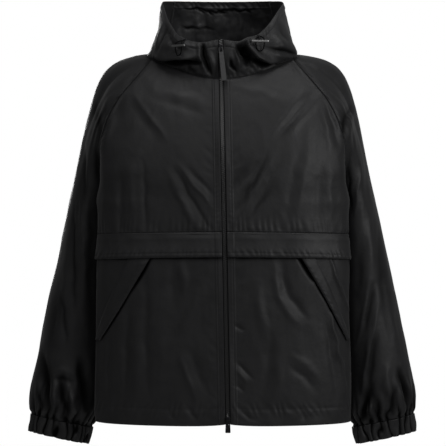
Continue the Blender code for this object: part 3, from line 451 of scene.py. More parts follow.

# Creases of the inside of the hood behind the neck, in picture points; they are raised as folds and get
# painted shade in their troughs
HOOD_BACK_CREASES = (
    Fold(1.2, -2.2, (184, 8, 192, 9.5, 198, 8.5, 206, 11, 213, 10)),
    Fold(1.2, -2.2, (209, 9, 216, 12, 224, 10.5, 232, 12.5)),
    Fold(1.2, -2, (228, 11, 238, 12.5, 246, 9.5, 256, 9)),
    Fold(1.1, -1.8, (196, 8, 199, 11, 204, 13.5)),
    Fold(1.1, -1.8, (206, 8, 209, 12, 214, 14)),
    Fold(1.1, -1.8, (217, 8, 221, 12.5, 228, 14)),
    Fold(1.1, -1.8, (231, 9, 236, 11, 239, 14)),
    Fold(1.1, -1.8, (243, 8, 247, 11, 252, 12.5)),
    Fold(1.3, -2.2, (183, 26, 188, 28, 193, 27, 200, 28.5)),
    Fold(1, -1.4, (198, 28, 206, 27.4, 216, 28.4)),
)

# Folds of the inside of the hood behind the neck, in picture points
HOOD_BACK_FOLDS = (
    Fold(2.6, 2.4, (196, 14, 198, 26, 196, 36)),
    Fold(2.6, -2.4, (204, 14, 206, 26, 204, 38)),
    Fold(3, 2.2, (216, 16, 217, 28, 215, 40)),
    Fold(3, -2.2, (226, 15, 228, 28, 227, 40)),
    Fold(2.6, 2.4, (238, 15, 241, 26, 240, 38)),
    Fold(2.8, -2.4, (250, 14, 254, 24, 254, 34)),
    Fold(3, 2, (262, 12, 264, 22, 262, 30)),
    Fold(3, -2, (176, 12, 179, 24, 182, 34)),
)


def smooth_step(low: float, high: float, value: Array) -> Array:
    """0 below low, 1 above high, and a smooth cubic between them."""
    share = np.clip((value - low) / (high - low), 0.0, 1.0)
    return share * share * (3 - 2 * share)


def bell(value: Array, middle: float, width: float) -> Array:
    """1 where a value is at the middle, falling to both sides as a Gaussian of a half width."""
    return np.exp(-((value - middle) / width) ** 2)


def at_least(least: float, share: Array) -> Array:
    """A share from 0 to 1 drawn in, so that it starts at a least value."""
    return least + (1 - least) * share


def unit(vectors: Array) -> Array:
    """Vectors of length 1."""
    return vectors / np.maximum(np.linalg.norm(vectors, axis=-1, keepdims=True), 1e-9)


def runs(points: Array) -> Array:
    """How far along a line each of its points is."""
    steps = np.linalg.norm(np.diff(points, axis=0), axis=1)
    return np.concatenate([[0.0], np.cumsum(steps)])


def read_line(at: Array, keys: Array, rows: Array) -> Array:
    """Rows of a table at any key, on straight lines between its own rows.

    Args:
        at: the keys to read.
        keys: the table's keys, rising.
        rows: its rows.
    Returns:
        A row for each key read.
    """
    return np.stack([np.interp(at, keys, column) for column in rows.T], axis=-1)


def row_slopes(keys: Array, values: Array) -> Array:
    """Slopes through a table's rows that never overshoot a row, from harmonic means.

    Args:
        keys: the table's first column.
        values: its other columns.
    Returns:
        One slope for each value.
    """
    rises = np.diff(values, axis=0) / np.diff(keys)[:, None]
    before, after = rises[:-1], rises[1:]
    both = before * after
    total = np.where(both > 0, before + after, 1.0)
    inner = np.where(both > 0, 2 * both / total, 0.0)
    return np.concatenate([rises[:1], inner, rises[-1:]])


def spline(table: Array, at: Array) -> Array:
    """The columns of a table at any key, on cubic Hermite curves through its rows.

    Args:
        table: rows in the order of their keys, which are the first column.
        at: the keys to read.
    Returns:
        The other columns at those keys.
    """
    keys, values = table[:, 0], table[:, 1:]
    slopes = row_slopes(keys, values)
    at = np.asarray(at, dtype=float)
    low = np.clip(np.searchsorted(keys, at, side="right") - 1, 0, len(keys) - 2)
    span = (keys[low + 1] - keys[low])[..., None]
    s = (at - keys[low])[..., None] / span
    start = (1 + 2 * s) * (1 - s) ** 2 * values[low] + s * (1 - s) ** 2 * span * slopes[low]
    end = s * s * (3 - 2 * s) * values[low + 1] + s * s * (s - 1) * span * slopes[low + 1]
    return start + end


def bezier(controls: tuple[Array, ...], t: Array) -> Array:
    """Points at shares t of curves with any number of control points, by repeated blending.

    Args:
        controls: control points, each an array that fits t.
        t: shares of the way along the curves.
    Returns:
        The points.
    """
    t = t[..., None]
    points = [control + 0 * t for control in controls]
    while len(points) > 1:
        points = [(1 - t) * a + t * b for a, b in zip(points, points[1:])]
    return points[0]


class Grain:
    """Smooth noise over space: each corner of a grid of unit cells has its own seeded slope."""

    def __init__(self, seed: int) -> None:
        """Draw the slopes and their order from a seed."""
        draw = np.random.default_rng(seed)
        self.order = draw.permutation(256)
        self.slopes = unit(draw.normal(size=(256, 3)))

    def values(self, places: Array) -> Array:
        """Noise at places: the slopes of a cell's eight corners, blended by quintic weights.

        Args:
            places: points in cells.
        Returns:
            Values from about -0.6 to 0.6.
        """
        cell = np.floor(places).astype(int)
        inside = places - cell
        weight = inside ** 3 * (inside * (inside * 6 - 15) + 10)
        total = np.zeros(places.shape[:-1])
        for corner in product((0, 1), repeat=3):
            at = cell + np.array(corner)
            row = self.order[at[..., 0] & 255]
            row = self.order[(row + at[..., 1]) & 255]
            row = self.order[(row + at[..., 2]) & 255]
            share = np.where(np.array(corner) == 1, weight, 1 - weight).prod(axis=-1)
            total += share * ((inside - np.array(corner)) * self.slopes[row]).sum(-1)
        return total


@dataclass(frozen=True)
class Crinkle:
    """Small uneven folds all over a cloth: noise, or the crests where it changes sign."""

    wave: Triple
    height: float
    seed: int
    crested: bool = True
    crest_level: float = 0.5
    crest_fall: float = 2.4
    crest_round: float = 0.004

    def heights(self, points: Array) -> Array:
        """Heights at points: twice the noise, or crests that fall off by its rounded size.

        Args:
            points: points in millimetres.
        Returns:
            Heights in millimetres.
        """
        noise = Grain(self.seed).values(points / np.array(self.wave) + 40.3)
        if self.crested:
            size = np.sqrt(noise ** 2 + self.crest_round)
            return self.height * (self.crest_level - self.crest_fall * size)
        return self.height * 2 * noise


BODY_CRINKLES = (
    Crinkle((75, 75, 170), 2.0, 3, crested=False),
    Crinkle((34, 34, 74), 0.8, 5),
    Crinkle((15, 15, 30), 0.22, 8),
)
SLEEVE_CRINKLES = (
    Crinkle((60, 60, 150), 2.2, 13, crested=False),
    Crinkle((28, 28, 76), 1.0, 15),
    Crinkle((14, 14, 30), 0.22, 18),
)
FLAP_WAVE = Crinkle((42, 42, 300), 1.0, 61, crested=False)
HOOD_CRINKLES = (
    Crinkle((46, 46, 40), 2.0, 23, crested=False),
    Crinkle((20, 20, 22), 1.2, 25),
    Crinkle((9, 9, 10), 0.3, 28),
)


def crinkle_heights(points: Array, crinkles: tuple[Crinkle, ...]) -> Array:
    """The summed heights of several crinkles at points."""
    return sum(crinkle.heights(points) for crinkle in crinkles)


# Seeds of the noise that makes folds' lines wander across and down, and the share of half a sine
# wave that a fold's height starts and ends at
WANDER_SEEDS = (201, 202)
FOLD_TAPER = 0.07


def drifted(places: Array, drift: float, period: float) -> Array:
    """Places moved about by smooth noise, so that lines laid on them wander.

    Args:
        places: two coordinates for each point.
        drift: about twice how far they move.
        period: the noise's cell.
    Returns:
        The moved places.
    """
    spots = np.concatenate([places / period, np.zeros_like(places[..., :1])], axis=-1)
    noise = [Grain(seed).values(spots + 3.7) for seed in WANDER_SEEDS]
    return places + drift * np.stack(noise, axis=-1)


def fold_heights(places: Array, folds: tuple[Fold, ...], drift: float = 2.6, period: float = 15.0) -> Array:
    """Heights of folds at places: each one's profile by the distance to its line, faded to its ends.

    Args:
        places: two coordinates for each point, in the units of the folds' lines.
        folds: the folds to add up.
        drift: how much their lines wander, in those units.
        period: how far apart the bends of the wandering lines are.
    Returns:
        Heights in millimetres.
    """
    places = drifted(places, drift, period)
    total = np.zeros(places.shape[:-1])
    for fold in folds:
        line = np.array(fold.line, dtype=float).reshape(-1, 2)
        starts = runs(line)
        away = np.full(total.shape, np.inf)
        along = np.zeros(total.shape)
        for first, last, start, end in zip(line[:-1], line[1:], starts, starts[1:]):
            way = (last - first) / (end - start)
            run = np.clip((places - first) @ way, 0, end - start)
            far = np.linalg.norm(places - first - run[..., None] * way, axis=-1)
            along = np.where(far < away, start + run, along)
            away = np.minimum(away, far)
        taper = np.sin(math.pi * (FOLD_TAPER + (1 - 2 * FOLD_TAPER) * along / starts[-1]))
        total += fold.height * taper * fold.shape.profile(away / fold.half_width)
    return total


def trough_shares(places: Array, folds: tuple[Fold, ...], deep: float) -> Array:
    """How deep places lie in the troughs among some folds.

    Args:
        places: two coordinates for each point, in the units of the folds' lines.
        folds: the folds; ridges are passed over.
        deep: the depth in millimetres that counts as 1.
    Returns:
        Shares from 0 to 1.
    """
    troughs = tuple(fold for fold in folds if fold.height < 0)
    return np.clip(-fold_heights(places, troughs) / deep, 0, 1)


@dataclass(frozen=True)
class Picture:
    """How the camera sees the jacket: its distance and what one picture point spans at y = 0."""

    far: float = 3800.0
    centre_x: float = 1.0
    centre_z: float = -323.4
    span: float = 1.96
    middle: float = 223.0

    def places(self, points: Array) -> Array:
        """Points as seen in the picture, by similar triangles from the camera.

        Args:
            points: points in millimetres.
        Returns:
            Across and down in picture points.
        """
        scale = self.far / (self.far + points[..., 1]) / self.span
        across = self.middle + (points[..., 0] - self.centre_x) * scale
        down = self.middle - (points[..., 2] - self.centre_z) * scale
        return np.stack([across, down], axis=-1)


PICTURE = Picture()


@dataclass
class Line:
    """A line on a cloth: its points in millimetres and the way out of the cloth at each."""

    points: Array
    normals: Array

    def __getitem__(self, part: slice) -> "Line":
        """A stretch of the line."""
        return Line(self.points[part], self.normals[part])


def mesh_object(name: str, points: Array, quads: Array, material: Material) -> Thing:
    """A smooth mesh at the origin, with its place in its mesh.

    Args:
        name: the piece's name.
        points: its points in millimetres.
        quads: its faces.
        material: its finish.
    Returns:
        The object.
    """
    mesh = bpy.data.meshes.new(name)
    mesh.from_pydata((points.reshape(-1, 3) * MM).tolist(), [], quads.reshape(-1, 4).tolist())
    mesh.materials.append(material)
    mesh.shade_smooth()
    thing = bpy.data.objects.new(name, mesh)
    bpy.context.scene.collection.objects.link(thing)
    return thing


@dataclass
class Surface:
    """A sheet as rows and columns of points in millimetres, with columns or rows that may close.

    Its painted shade says how deep each point lies in a fold, from 0 to 1, darkening its colour; below 0 it
    is painted light that lightens the colour.
    """

    points: Array
    side: Side = LEFT
    closed: bool = False
    looped: bool = False
    creases: Array | None = None

    def normals(self) -> Array:
        """Outward normals: steps along the rows crossed with steps along the columns."""
        if self.closed:
            across = np.roll(self.points, -1, axis=1) - np.roll(self.points, 1, axis=1)
        else:
            across = np.gradient(self.points, axis=1)
        return unit(np.cross(across, np.gradient(self.points, axis=0))) * self.side.value

    def reach(self, edge: Edge) -> Array:
        """Each point's distance from an edge, added up along its row or column.

        Args:
            edge: the edge to measure from.
        Returns:
            Distances in millimetres.
        """
        axis = 1 if edge.upright else 0
        steps = np.linalg.norm(np.diff(self.points, axis=axis), axis=-1)
        zero = np.zeros_like(np.take(steps, [0], axis=axis))
        far = np.concatenate([zero, np.cumsum(steps, axis=axis)], axis=axis)
        if edge in (END, HIGH):
            far = np.take(far, [-1], axis=axis) - far
        return far

    def calm(self, edges: tuple[Edge, ...], width: float) -> Array:
        """A share from 0 on the given edges to 1 at a width from them."""
        share = np.ones(self.points.shape[:2])
        for edge in edges:
            share = share * smooth_step(0.0, width, self.reach(edge))
        return share

    def facing(self, span: Pair, way: int = -1) -> Array:
        """A share from 0 to 1 as the normals turn to the front (-1) or the back (1) over a span."""
        return smooth_step(*span, way * self.normals()[..., 1])

    def raised(self, heights: Array) -> "Surface":
        """The sheet with every point moved out along its normal."""
        return replace(self, points=self.points + self.normals() * heights[..., None])

    def line(self, edge: Edge, distance: float) -> Line:
        """The line at a distance from an edge, interpolated between the grid's points.

        Args:
            edge: the edge that the line follows.
            distance: how far from it, in millimetres.
        Returns:
            The line, in the order of the edge's points.
        """
        far, points, normals = self.reach(edge), self.points, self.normals()
        if not edge.upright:
            far, points, normals = far.T, points.transpose(1, 0, 2), normals.transpose(1, 0, 2)
        if edge in (END, HIGH):
            far, points, normals = far[:, ::-1], points[:, ::-1], normals[:, ::-1]
        row = np.arange(len(far))
        low = np.clip((far < distance).sum(axis=1) - 1, 0, far.shape[1] - 2)
        near, next_far = far[row, low], far[row, low + 1]
        share = np.clip((distance - near) / np.maximum(next_far - near, 1e-6), 0, 1)[:, None]
        spots = points[row, low] * (1 - share) + points[row, low + 1] * share
        return Line(spots, normals[row, low])

    def first_edge(self) -> Line:
        """The first column with the normals there."""
        return Line(self.points[:, 0], self.normals()[:, 0])

    def flat_size(self) -> tuple[Pair, float]:
        """Width, length and area of the sheet laid flat, in metres."""
        width = self.reach(END)[:, 0].max()
        if self.closed:
            width += np.linalg.norm(self.points[:, 0] - self.points[:, -1], axis=-1).max()
        length = self.reach(HIGH)[0].max()
        grid = np.concatenate([self.points, self.points[:, :1]], axis=1) if self.closed else self.points
        one = np.cross(grid[1:, 1:] - grid[:-1, :-1], grid[1:, :-1] - grid[:-1, 1:])
        area = np.linalg.norm(one, axis=-1).sum() / 2
        return (width * MM, length * MM), area * MM * MM

    def build(self, name: str, material: Material, thick: float = 0.0) -> Thing:
        """Make the sheet a mesh object with a UV map in metres along its rows and columns.

        Args:
            name: the piece's name.
            material: its finish.
            thick: the wall's thickness in millimetres, or 0 for none.
        Returns:
            The object.
        """
        rows, columns = self.points.shape[:2]
        index = np.arange(rows * columns).reshape(rows, columns)
        across, along = self.reach(START), self.reach(LOW)
        if self.closed:
            last = across[:, -1:] + np.linalg.norm(self.points[:, :1] - self.points[:, -1:], axis=-1)
            index = np.concatenate([index, index[:, :1]], axis=1)
            across = np.concatenate([across, last], axis=1)
            along = np.concatenate([along, along[:, :1]], axis=1)
        if self.looped:
            index = np.concatenate([index, index[:1]])
            across = np.concatenate([across, across[:1]])
            along = np.concatenate([along, 2 * along[-1:] - along[-2:-1]])
        flat = np.stack([across, along], axis=-1) * MM

        def corners(grid: Array) -> Array:
            """The four corners of each quad, in the order that faces outwards."""
            quads = np.stack([grid[:-1, :-1], grid[:-1, 1:], grid[1:, 1:], grid[1:, :-1]], axis=2)
            return quads[:, :, ::-1] if self.side is RIGHT else quads

        thing = mesh_object(name, self.points, corners(index), material)
        layer = thing.data.uv_layers.new(name="cloth")
        layer.data.foreach_set("uv", corners(flat).reshape(-1).astype(np.float32))
        # Painted shade, and painted light below 0, as a point attribute for the cloth's material
        if self.creases is not None:
            depth = thing.data.attributes.new("crease", "FLOAT", "POINT")
            depth.data.foreach_set("value", self.creases.reshape(-1).astype(np.float32))
        if thick:
            wall = thing.modifiers.new("wall", "SOLIDIFY")
            wall.thickness = thick * MM
            wall.offset = 0.0
        return thing


def repeated(form: Array, faces: Array, places: Array) -> tuple[Array, Array]:
    """A small form repeated in many frames: each point is a sum of its frame's axes.

    Args:
        form: the form's points in millimetres.
        faces: its quads.
        places: for each copy its origin and three axes, as rows of three.
    Returns:
        Points and quads of all the copies.
    """
    points = places[:, None, 0] + np.einsum("kj,njc->nkc", form, places[:, 1:4])
    quads = faces[None] + (np.arange(len(places)) * len(form))[:, None, None]
    return points, quads


def square_rings(at: Array, half_one: Array, half_two: Array, flat: bool = False) -> tuple[Array, Array]:
    """A closed form of four-sided rings along its first axis.

    Args:
        at: where each ring is.
        half_one: half of each ring's size on the second axis.
        half_two: half of each ring's size on the third axis.
        flat: whether the rings' sides, and not their corners, face along those axes.
    Returns:
        Points, and quads that face outwards.
    """
    corners = [(1, 1), (-1, 1), (-1, -1), (1, -1)] if flat else [(1, 0), (0, 1), (-1, 0), (0, -1)]
    turn = np.array(corners, dtype=float)
    rings = np.empty((len(at), 4, 3))
    rings[..., 0] = at[:, None]
    rings[..., 1] = half_one[:, None] * turn[None, :, 0]
    rings[..., 2] = half_two[:, None] * turn[None, :, 1]
    index = np.arange(len(at) * 4).reshape(len(at), 4)
    wrap = np.concatenate([index, index[:, :1]], axis=1)
    sides = np.stack([wrap[:-1, :-1], wrap[:-1, 1:], wrap[1:, 1:], wrap[1:, :-1]], axis=-1)
    ends = np.stack([index[0, ::-1], index[-1]])
    return rings.reshape(-1, 3), np.concatenate([sides[..., ::-1].reshape(-1, 4), ends[:, ::-1]])


class NodeSheet:
    """A material's nodes, added and linked one after another.

    Colours and roughness run from one end to the other over the middle of a pattern's values.
    """

    low = 0.3
    high = 0.7
    noise_roughness = 0.55
    wave_period = math.pi / 10

    def __init__(self, name: str) -> None:
        """Start a material with its shader and the piece's own coordinates."""
        self.material = bpy.data.materials.new(name)
        self.material.use_nodes = True
        self.tree = self.material.node_tree
        self.shader = self.tree.nodes["Principled BSDF"]
        self.coordinates = self.tree.nodes.new("ShaderNodeTexCoord")

    def add(self, kind: str, sockets: dict | None = None, **settings: object) -> bpy.types.Node:
        """Add a node.

        Args:
            kind: the node's type without its prefix.
            sockets: values of its inputs by name.
            settings: its own properties.
        Returns:
            The node.
        """
        node = self.tree.nodes.new("ShaderNode" + kind)
        for key, value in settings.items():
            setattr(node, key, value)
        for key, value in (sockets or {}).items():
            node.inputs[key].default_value = value
        return node

    def feed(self, target: Socket, value: float | Socket) -> None:
        """Give an input a number or another node's output."""
        if isinstance(value, Socket):
            self.tree.links.new(value, target)
        else:
            target.default_value = value

    def paint(self, target: str, value: float | Socket) -> None:
        """Give an input of the shader a number or another node's output."""
        self.feed(self.shader.inputs[target], value)

    def math(self, operation: str, first: float | Socket,
             second: Socket) -> Socket:
        """The result of a sum with two terms."""
        node = self.add("Math", operation=operation)
        self.feed(node.inputs[0], first)
        self.feed(node.inputs[1], second)
        return node.outputs["Value"]

    def noise(self, scale: float, detail: float) -> Socket:
        """A noise on the piece's own coordinates."""
        sockets = {"Scale": scale, "Detail": detail, "Roughness": self.noise_roughness}
        node = self.add("TexNoise", sockets)
        self.feed(node.inputs["Vector"], self.coordinates.outputs["Object"])
        return node.outputs["Fac"]

    def wave(self, period: float, direction: str) -> Socket:
        """Even bands on the piece's UV map, a period in metres apart."""
        node = self.add("TexWave", {"Scale": self.wave_period / period}, bands_direction=direction)
        self.feed(node.inputs["Vector"], self.coordinates.outputs["UV"])
        return node.outputs["Fac"]

    def ramp(self, source: Socket, low: Triple, high: Triple) -> Socket:
        """Colours from low to high by a pattern's value."""
        node = self.add("ValToRGB")
        for stop, place, colour in zip(node.color_ramp.elements, (self.low, self.high), (low, high)):
            stop.position = place
            stop.color = (*colour, 1.0)
        self.feed(node.inputs["Fac"], source)
        return node.outputs["Color"]

    def spread(self, source: Socket, low: float, high: float) -> Socket:
        """Numbers from low to high by a pattern's value."""
        ends = {"From Min": self.low, "From Max": self.high, "To Min": low, "To Max": high}
        node = self.add("MapRange", ends)
        self.feed(node.inputs["Value"], source)
        return node.outputs["Result"]

    def bump(self, source: Socket, depth: float, strength: float,
             before: Socket | None = None) -> Socket:
        """A bump of a depth in metres, over an earlier one, into the shader."""
        node = self.add("Bump", {"Distance": depth, "Strength": strength})
        self.feed(node.inputs["Height"], source)
        if before is not None:
            self.feed(node.inputs["Normal"], before)
        self.paint("Normal", node.outputs["Normal"])
        return node.outputs["Normal"]


@dataclass(frozen=True)
class ShellCloth:
    """Light woven shell cloth with a soft sheen; painted shade darkens it where its folds are deep, and
    painted light lightens it below 0.
    """

    name: str = "shell cloth"
    dark: Triple = (0.0088, 0.0088, 0.0092)
    light: Triple = (0.0106, 0.0106, 0.0111)
    roughness: Pair = (0.46, 0.54)
    specular: float = 0.18
    sheen: float = 0.06
    sheen_roughness: float = 0.35
    patch_scale: float = 38.0
    patch_detail: float = 5.0
    crinkle_scale: float = 90.0
    crinkle_detail: float = 3.0
    crinkle_depth: float = 0.0010
    crinkle_strength: float = 0.40
    weave: float = 0.0009
    weave_depth: float = 0.00004
    weave_strength: float = 0.35
    crease_shade: float = 0.09

    def material(self) -> Material:
        """Uneven black with painted shade and painted light, fine crinkles and a plain weave of crossed
        threads.
        """
        sheet = NodeSheet(self.name)
        patches = sheet.noise(self.patch_scale, self.patch_detail)
        # Painted shade: colour and specular level are scaled by crease_shade to the power of the point
        # attribute; below 0 this is painted light
        depth = sheet.add("Attribute", attribute_name="crease")
        shade = sheet.math("POWER", self.crease_shade, depth.outputs["Fac"])
        sheet.paint("Specular IOR Level", sheet.math("MULTIPLY", self.specular, shade))
        colour = sheet.add("VectorMath", operation="SCALE")
        sheet.feed(colour.inputs[0], sheet.ramp(patches, self.dark, self.light))
        sheet.feed(colour.inputs["Scale"], shade)
        sheet.paint("Base Color", colour.outputs["Vector"])
        sheet.paint("Roughness", sheet.spread(patches, *self.roughness))
        fine = sheet.noise(self.crinkle_scale, self.crinkle_detail)
        crinkled = sheet.bump(fine, self.crinkle_depth, self.crinkle_strength)
        crossed = sheet.math("MAXIMUM", sheet.wave(self.weave, "X"), sheet.wave(self.weave, "Y"))
        sheet.bump(crossed, self.weave_depth, self.weave_strength, crinkled)
        sheet.paint("Sheen Weight", self.sheen)
        sheet.paint("Sheen Roughness", self.sheen_roughness)
        return sheet.material


@dataclass(frozen=True)
class WovenTape:
    """Matt woven tape or braided cord, ribbed along its length."""

    name: str
    dark: Triple
    light: Triple
    rib: float = 0.0011
    row_share: float = 0.8
    depth: float = 0.00012
    strength: float = 0.7
    roughness: float = 0.72
    specular: float = 0.3

    def material(self) -> Material:
        """Crossed ribs that shade the colour and raise the surface."""
        sheet = NodeSheet(self.name)
        rows = sheet.wave(self.rib * self.row_share, "DIAGONAL")
        crossed = sheet.math("MULTIPLY", sheet.wave(self.rib, "X"), rows)
        sheet.paint("Base Color", sheet.ramp(crossed, self.dark, self.light))
        sheet.bump(crossed, self.depth, self.strength)
        sheet.paint("Roughness", self.roughness)
        sheet.paint("Specular IOR Level", self.specular)
        return sheet.material


@dataclass(frozen=True)
class HardFinish:
    """Moulded plastic or plated metal with a fine grain."""

    name: str
    dark: Triple
    light: Triple
    roughness: Pair
    metallic: float = 0.0
    grain: float = 700.0
    grain_detail: float = 4.0
    grain_depth: float = 0.00006
    grain_strength: float = 0.3
    stretch: Triple = (1.0, 1.0, 1.0)
    ior: float = 1.5

    def material(self) -> Material:
        """Grain that shades the colour and the roughness, drawn out along one way."""
        sheet = NodeSheet(self.name)
        turn = sheet.add("Mapping", {"Scale": self.stretch})
        sheet.feed(turn.inputs["Vector"], sheet.coordinates.outputs["Object"])
        noise = sheet.add("TexNoise", {"Scale": self.grain, "Detail": self.grain_detail})
        sheet.feed(noise.inputs["Vector"], turn.outputs["Vector"])
        grain = noise.outputs["Fac"]
        sheet.paint("Base Color", sheet.ramp(grain, self.dark, self.light))
        sheet.paint("Roughness", sheet.spread(grain, *self.roughness))
        sheet.bump(grain, self.grain_depth, self.grain_strength)
        sheet.paint("Metallic", self.metallic)
        sheet.paint("IOR", self.ior)
        return sheet.material


ZIP_TAPE = WovenTape("zip tape", (0.003, 0.003, 0.0032), (0.007, 0.007, 0.0073), specular=0.08)
BRAIDED_CORD = WovenTape("braided cord", (0.001, 0.001, 0.0011), (0.0035, 0.0035, 0.0037),
                         rib=0.0014, depth=0.0002, specular=0.05)
SEWING_THREAD = WovenTape("sewing thread", (0.010, 0.010, 0.011), (0.022, 0.022, 0.023), rib=0.0005)
MOULDED_TEETH = HardFinish("moulded teeth", (0.006, 0.006, 0.0062), (0.012, 0.012, 0.0123),
                           roughness=(0.26, 0.36), ior=1.75)
DARK_PLATE = HardFinish("dark plate", (0.014, 0.014, 0.015), (0.028, 0.028, 0.030),
                        roughness=(0.44, 0.58), metallic=1.0)
SATIN_GREY = HardFinish("satin grey", (0.022, 0.022, 0.023), (0.032, 0.032, 0.033),
                        roughness=(0.34, 0.48), grain=500.0)
BRUSHED_BAR = HardFinish("brushed bar", (0.11, 0.11, 0.11), (0.19, 0.19, 0.19),
                         roughness=(0.34, 0.48), metallic=1.0, grain=900.0, stretch=(0.08, 1.0, 1.0))
PALE_FLOOR = HardFinish("pale floor", (0.58, 0.58, 0.58), (0.64, 0.64, 0.64),
                        roughness=(0.6, 0.7), grain=3.0)


@dataclass
class Wardrobe:
    """The finishes that the pieces share, each made once."""

    cloth: Material = field(default_factory=ShellCloth().material)
    tape: Material = field(default_factory=ZIP_TAPE.material)
    cord: Material = field(default_factory=BRAIDED_CORD.material)
    thread: Material = field(default_factory=SEWING_THREAD.material)
    teeth: Material = field(default_factory=MOULDED_TEETH.material)
    slider: Material = field(default_factory=DARK_PLATE.material)
    pull: Material = field(default_factory=SATIN_GREY.material)
    bar: Material = field(default_factory=BRUSHED_BAR.material)


@dataclass
class Thread:
    """Rows of stitches, each a short thread that dips into the cloth at both ends."""

    length: float = 2.4
    pitch: float = 3.3
    half_width: float = 0.30
    end_share: float = 0.6
    flat_share: float = 0.8
    rise: float = 0.62
    dip: float = 0.30
    places: list[Array] = field(default_factory=list)

    def sew(self, sheet: Surface, edge: Edge, *distances: float, part: slice = slice(None)) -> None:
        """Lay rows of stitches at an even pitch along an edge of a sheet.

        Args:
            sheet: the middle of the cloth.
            edge: the edge that the rows follow.
            distances: how far from it each row is.
            part: the stretch of each row that is sewn.
        """
        for distance in distances:
            line = sheet.line(edge, distance)[part]
            run = runs(line.points)
            at = np.arange(self.pitch, run[-1] - self.pitch, self.pitch)
            spot = read_line(at, run, line.points)
            way = unit(read_line(at + self.length / 4, run, line.points) - spot)
            out = unit(read_line(at, run, line.normals))
            across = unit(np.cross(out, way))
            self.places.append(np.stack([spot + out * self.rise, way, across, out], axis=1))

    def build(self, material: Material) -> Thing:
        """Make all the rows one mesh."""
        at = np.array((-0.5, 0.0, 0.5)) * self.length
        half = np.array((self.end_share, 1.0, self.end_share)) * self.half_width
        form, faces = square_rings(at, half, half * self.flat_share)
        form[:, 2] -= self.dip * (form[:, 0] != 0)
        places = np.concatenate(self.places)
        return mesh_object("stitches", *repeated(form, faces, places), material)


@dataclass(frozen=True)
class Groove:
    """A narrow trough along an edge: how far from it, its half width and its depth."""

    place: float
    width: float
    depth: float

    def heights(self, far: Array) -> Array:
        """Heights by the distance from the edge: a bell turned down."""
        return -self.depth * bell(far, self.place, self.width)


@dataclass(frozen=True)
class Puckers:
    """Small waves that a row of stitches draws up along an edge.

    They are largest at a place in from the edge, in a band of a half width, and lean by a slant.
    """

    place: float
    width: float
    pitch: float
    height: float
    slant: float
    seed: int
    noise_long: float = 34.0
    noise_wide: float = 60.0

    def heights(self, far: Array, along: Array) -> Array:
        """A cosine along the edge under a bell across it, with a pitch and height that wander.

        Args:
            far: distance from the edge that the stitches follow.
            along: distance along that edge.
        Returns:
            Heights in millimetres.
        """
        spots = np.stack([along / self.noise_long, far / self.noise_wide, 0 * far], axis=-1)
        wander = Grain(self.seed).values(spots + 7.7)
        vary = 0.55 + 1.3 * np.abs(Grain(self.seed + 1).values(spots * 0.7 + 3.1))
        wave = np.cos(2 * math.pi * ((along + self.slant * far) / self.pitch + 1.6 * wander))
        return self.height * vary * wave * bell(far, self.place, self.width)


def dress(thing: Thing, node: str, body: str = "jacket") -> None:
    """Put a piece in place of its solid, on its body."""
    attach(thing, body)
    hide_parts(node)
    LOG.info("built %s", thing.name)


# Rings of a tooth from its foot to its head. Columns: along it, half its height, half its depth
TOOTH_RINGS = np.array([
    (-1.5, 0.65, 1.2),
    (-1.0, 0.90, 1.9),
    (0.8, 0.90, 1.9),
    (1.2, 0.55, 0.5),
    (3.0, 0.50, 0.4),
    (3.3, 0.35, 0.3),
])


@dataclass
class Zip:
    """The closed two-way zip: where it runs, its tapes and its teeth."""

    top: Pair = (-3.5, 26.0)
    bottom: Pair = (10.5, -708.0)
    half_gap: float = 5.0
    tape_sink: float = 1.5
    tape_thick: float = 0.8
    tape_columns: tuple[float, ...] = (
        -4.9, -2.4, -1.9, -1.5, -1.1, -0.7, -0.3, 0.2, 2.0, 5.0, 9.0, 12.0)
    bead: float = -1.1
    bead_rise: float = 1.3
    bead_wide: float = 0.55
    chain_sink: float = 0.2
    tooth_pitch: float = 4.1
    tooth_root: float = 2.1

    def x(self, z: Array) -> Array:
        """Where the leaning zip is at a height, on a straight line."""
        share = (self.top[1] - z) / (self.top[1] - self.bottom[1])
        return self.top[0] + share * (self.bottom[0] - self.top[0])

    def build(self, edges: dict[Side, Line], finishes: Wardrobe) -> None:
        """Tapes behind the fronts' edges and two rows of teeth that mesh between them.

        Args:
            edges: the fronts' edges along the zip, from the hem up.
            finishes: the finishes.
        """
        across = np.array(self.tape_columns)
        bead = self.bead_rise * bell(across, self.bead, self.bead_wide)
        for side, edge in edges.items():
            inward = unit(np.cross(edge.normals, np.gradient(edge.points, axis=0))) * side.value
            behind = edge.points - edge.normals * self.tape_sink
            points = behind[:, None] - inward[:, None] * across[None, :, None]
            sheet = Surface(points + edge.normals[:, None] * bead[None, :, None], side)
            tape = sheet.build(f"zip_tape_{side.word}_cloth", finishes.tape, self.tape_thick)
            dress(tape, f"zip_tape_{side.word}")
            size, area = sheet.flat_size()
        self.teeth(edges, finishes)

    def teeth(self, edges: dict[Side, Line], finishes: Wardrobe) -> None:
        """Teeth at an even pitch, those of the two sides half a pitch apart."""
        left, right = edges[LEFT], edges[RIGHT]
        out = unit(left.normals + right.normals)
        middle = (left.points + right.points) / 2 - out * self.chain_sink
        run = runs(middle)
        line = read_line(np.arange(0.0, run[-1], self.tooth_pitch / 2), run, middle)
        way = unit(np.gradient(line, axis=0))
        outward = read_line(np.linspace(0, 1, len(line)), np.linspace(0, 1, len(out)), out)
        across = unit(np.cross(way, outward))
        turn = np.where(np.arange(len(line)) % 2 == 0, 1.0, -1.0)[:, None]
        origin = line - across * turn * self.tooth_root
        places = np.stack([origin, across * turn, way * turn, outward], axis=1)
        form, faces = square_rings(*TOOTH_RINGS.T, flat=True)
        chain = mesh_object("zip_teeth", *repeated(form, faces, places), finishes.teeth)
        chain.data.shade_flat()
        dress(chain, "zip_chain")


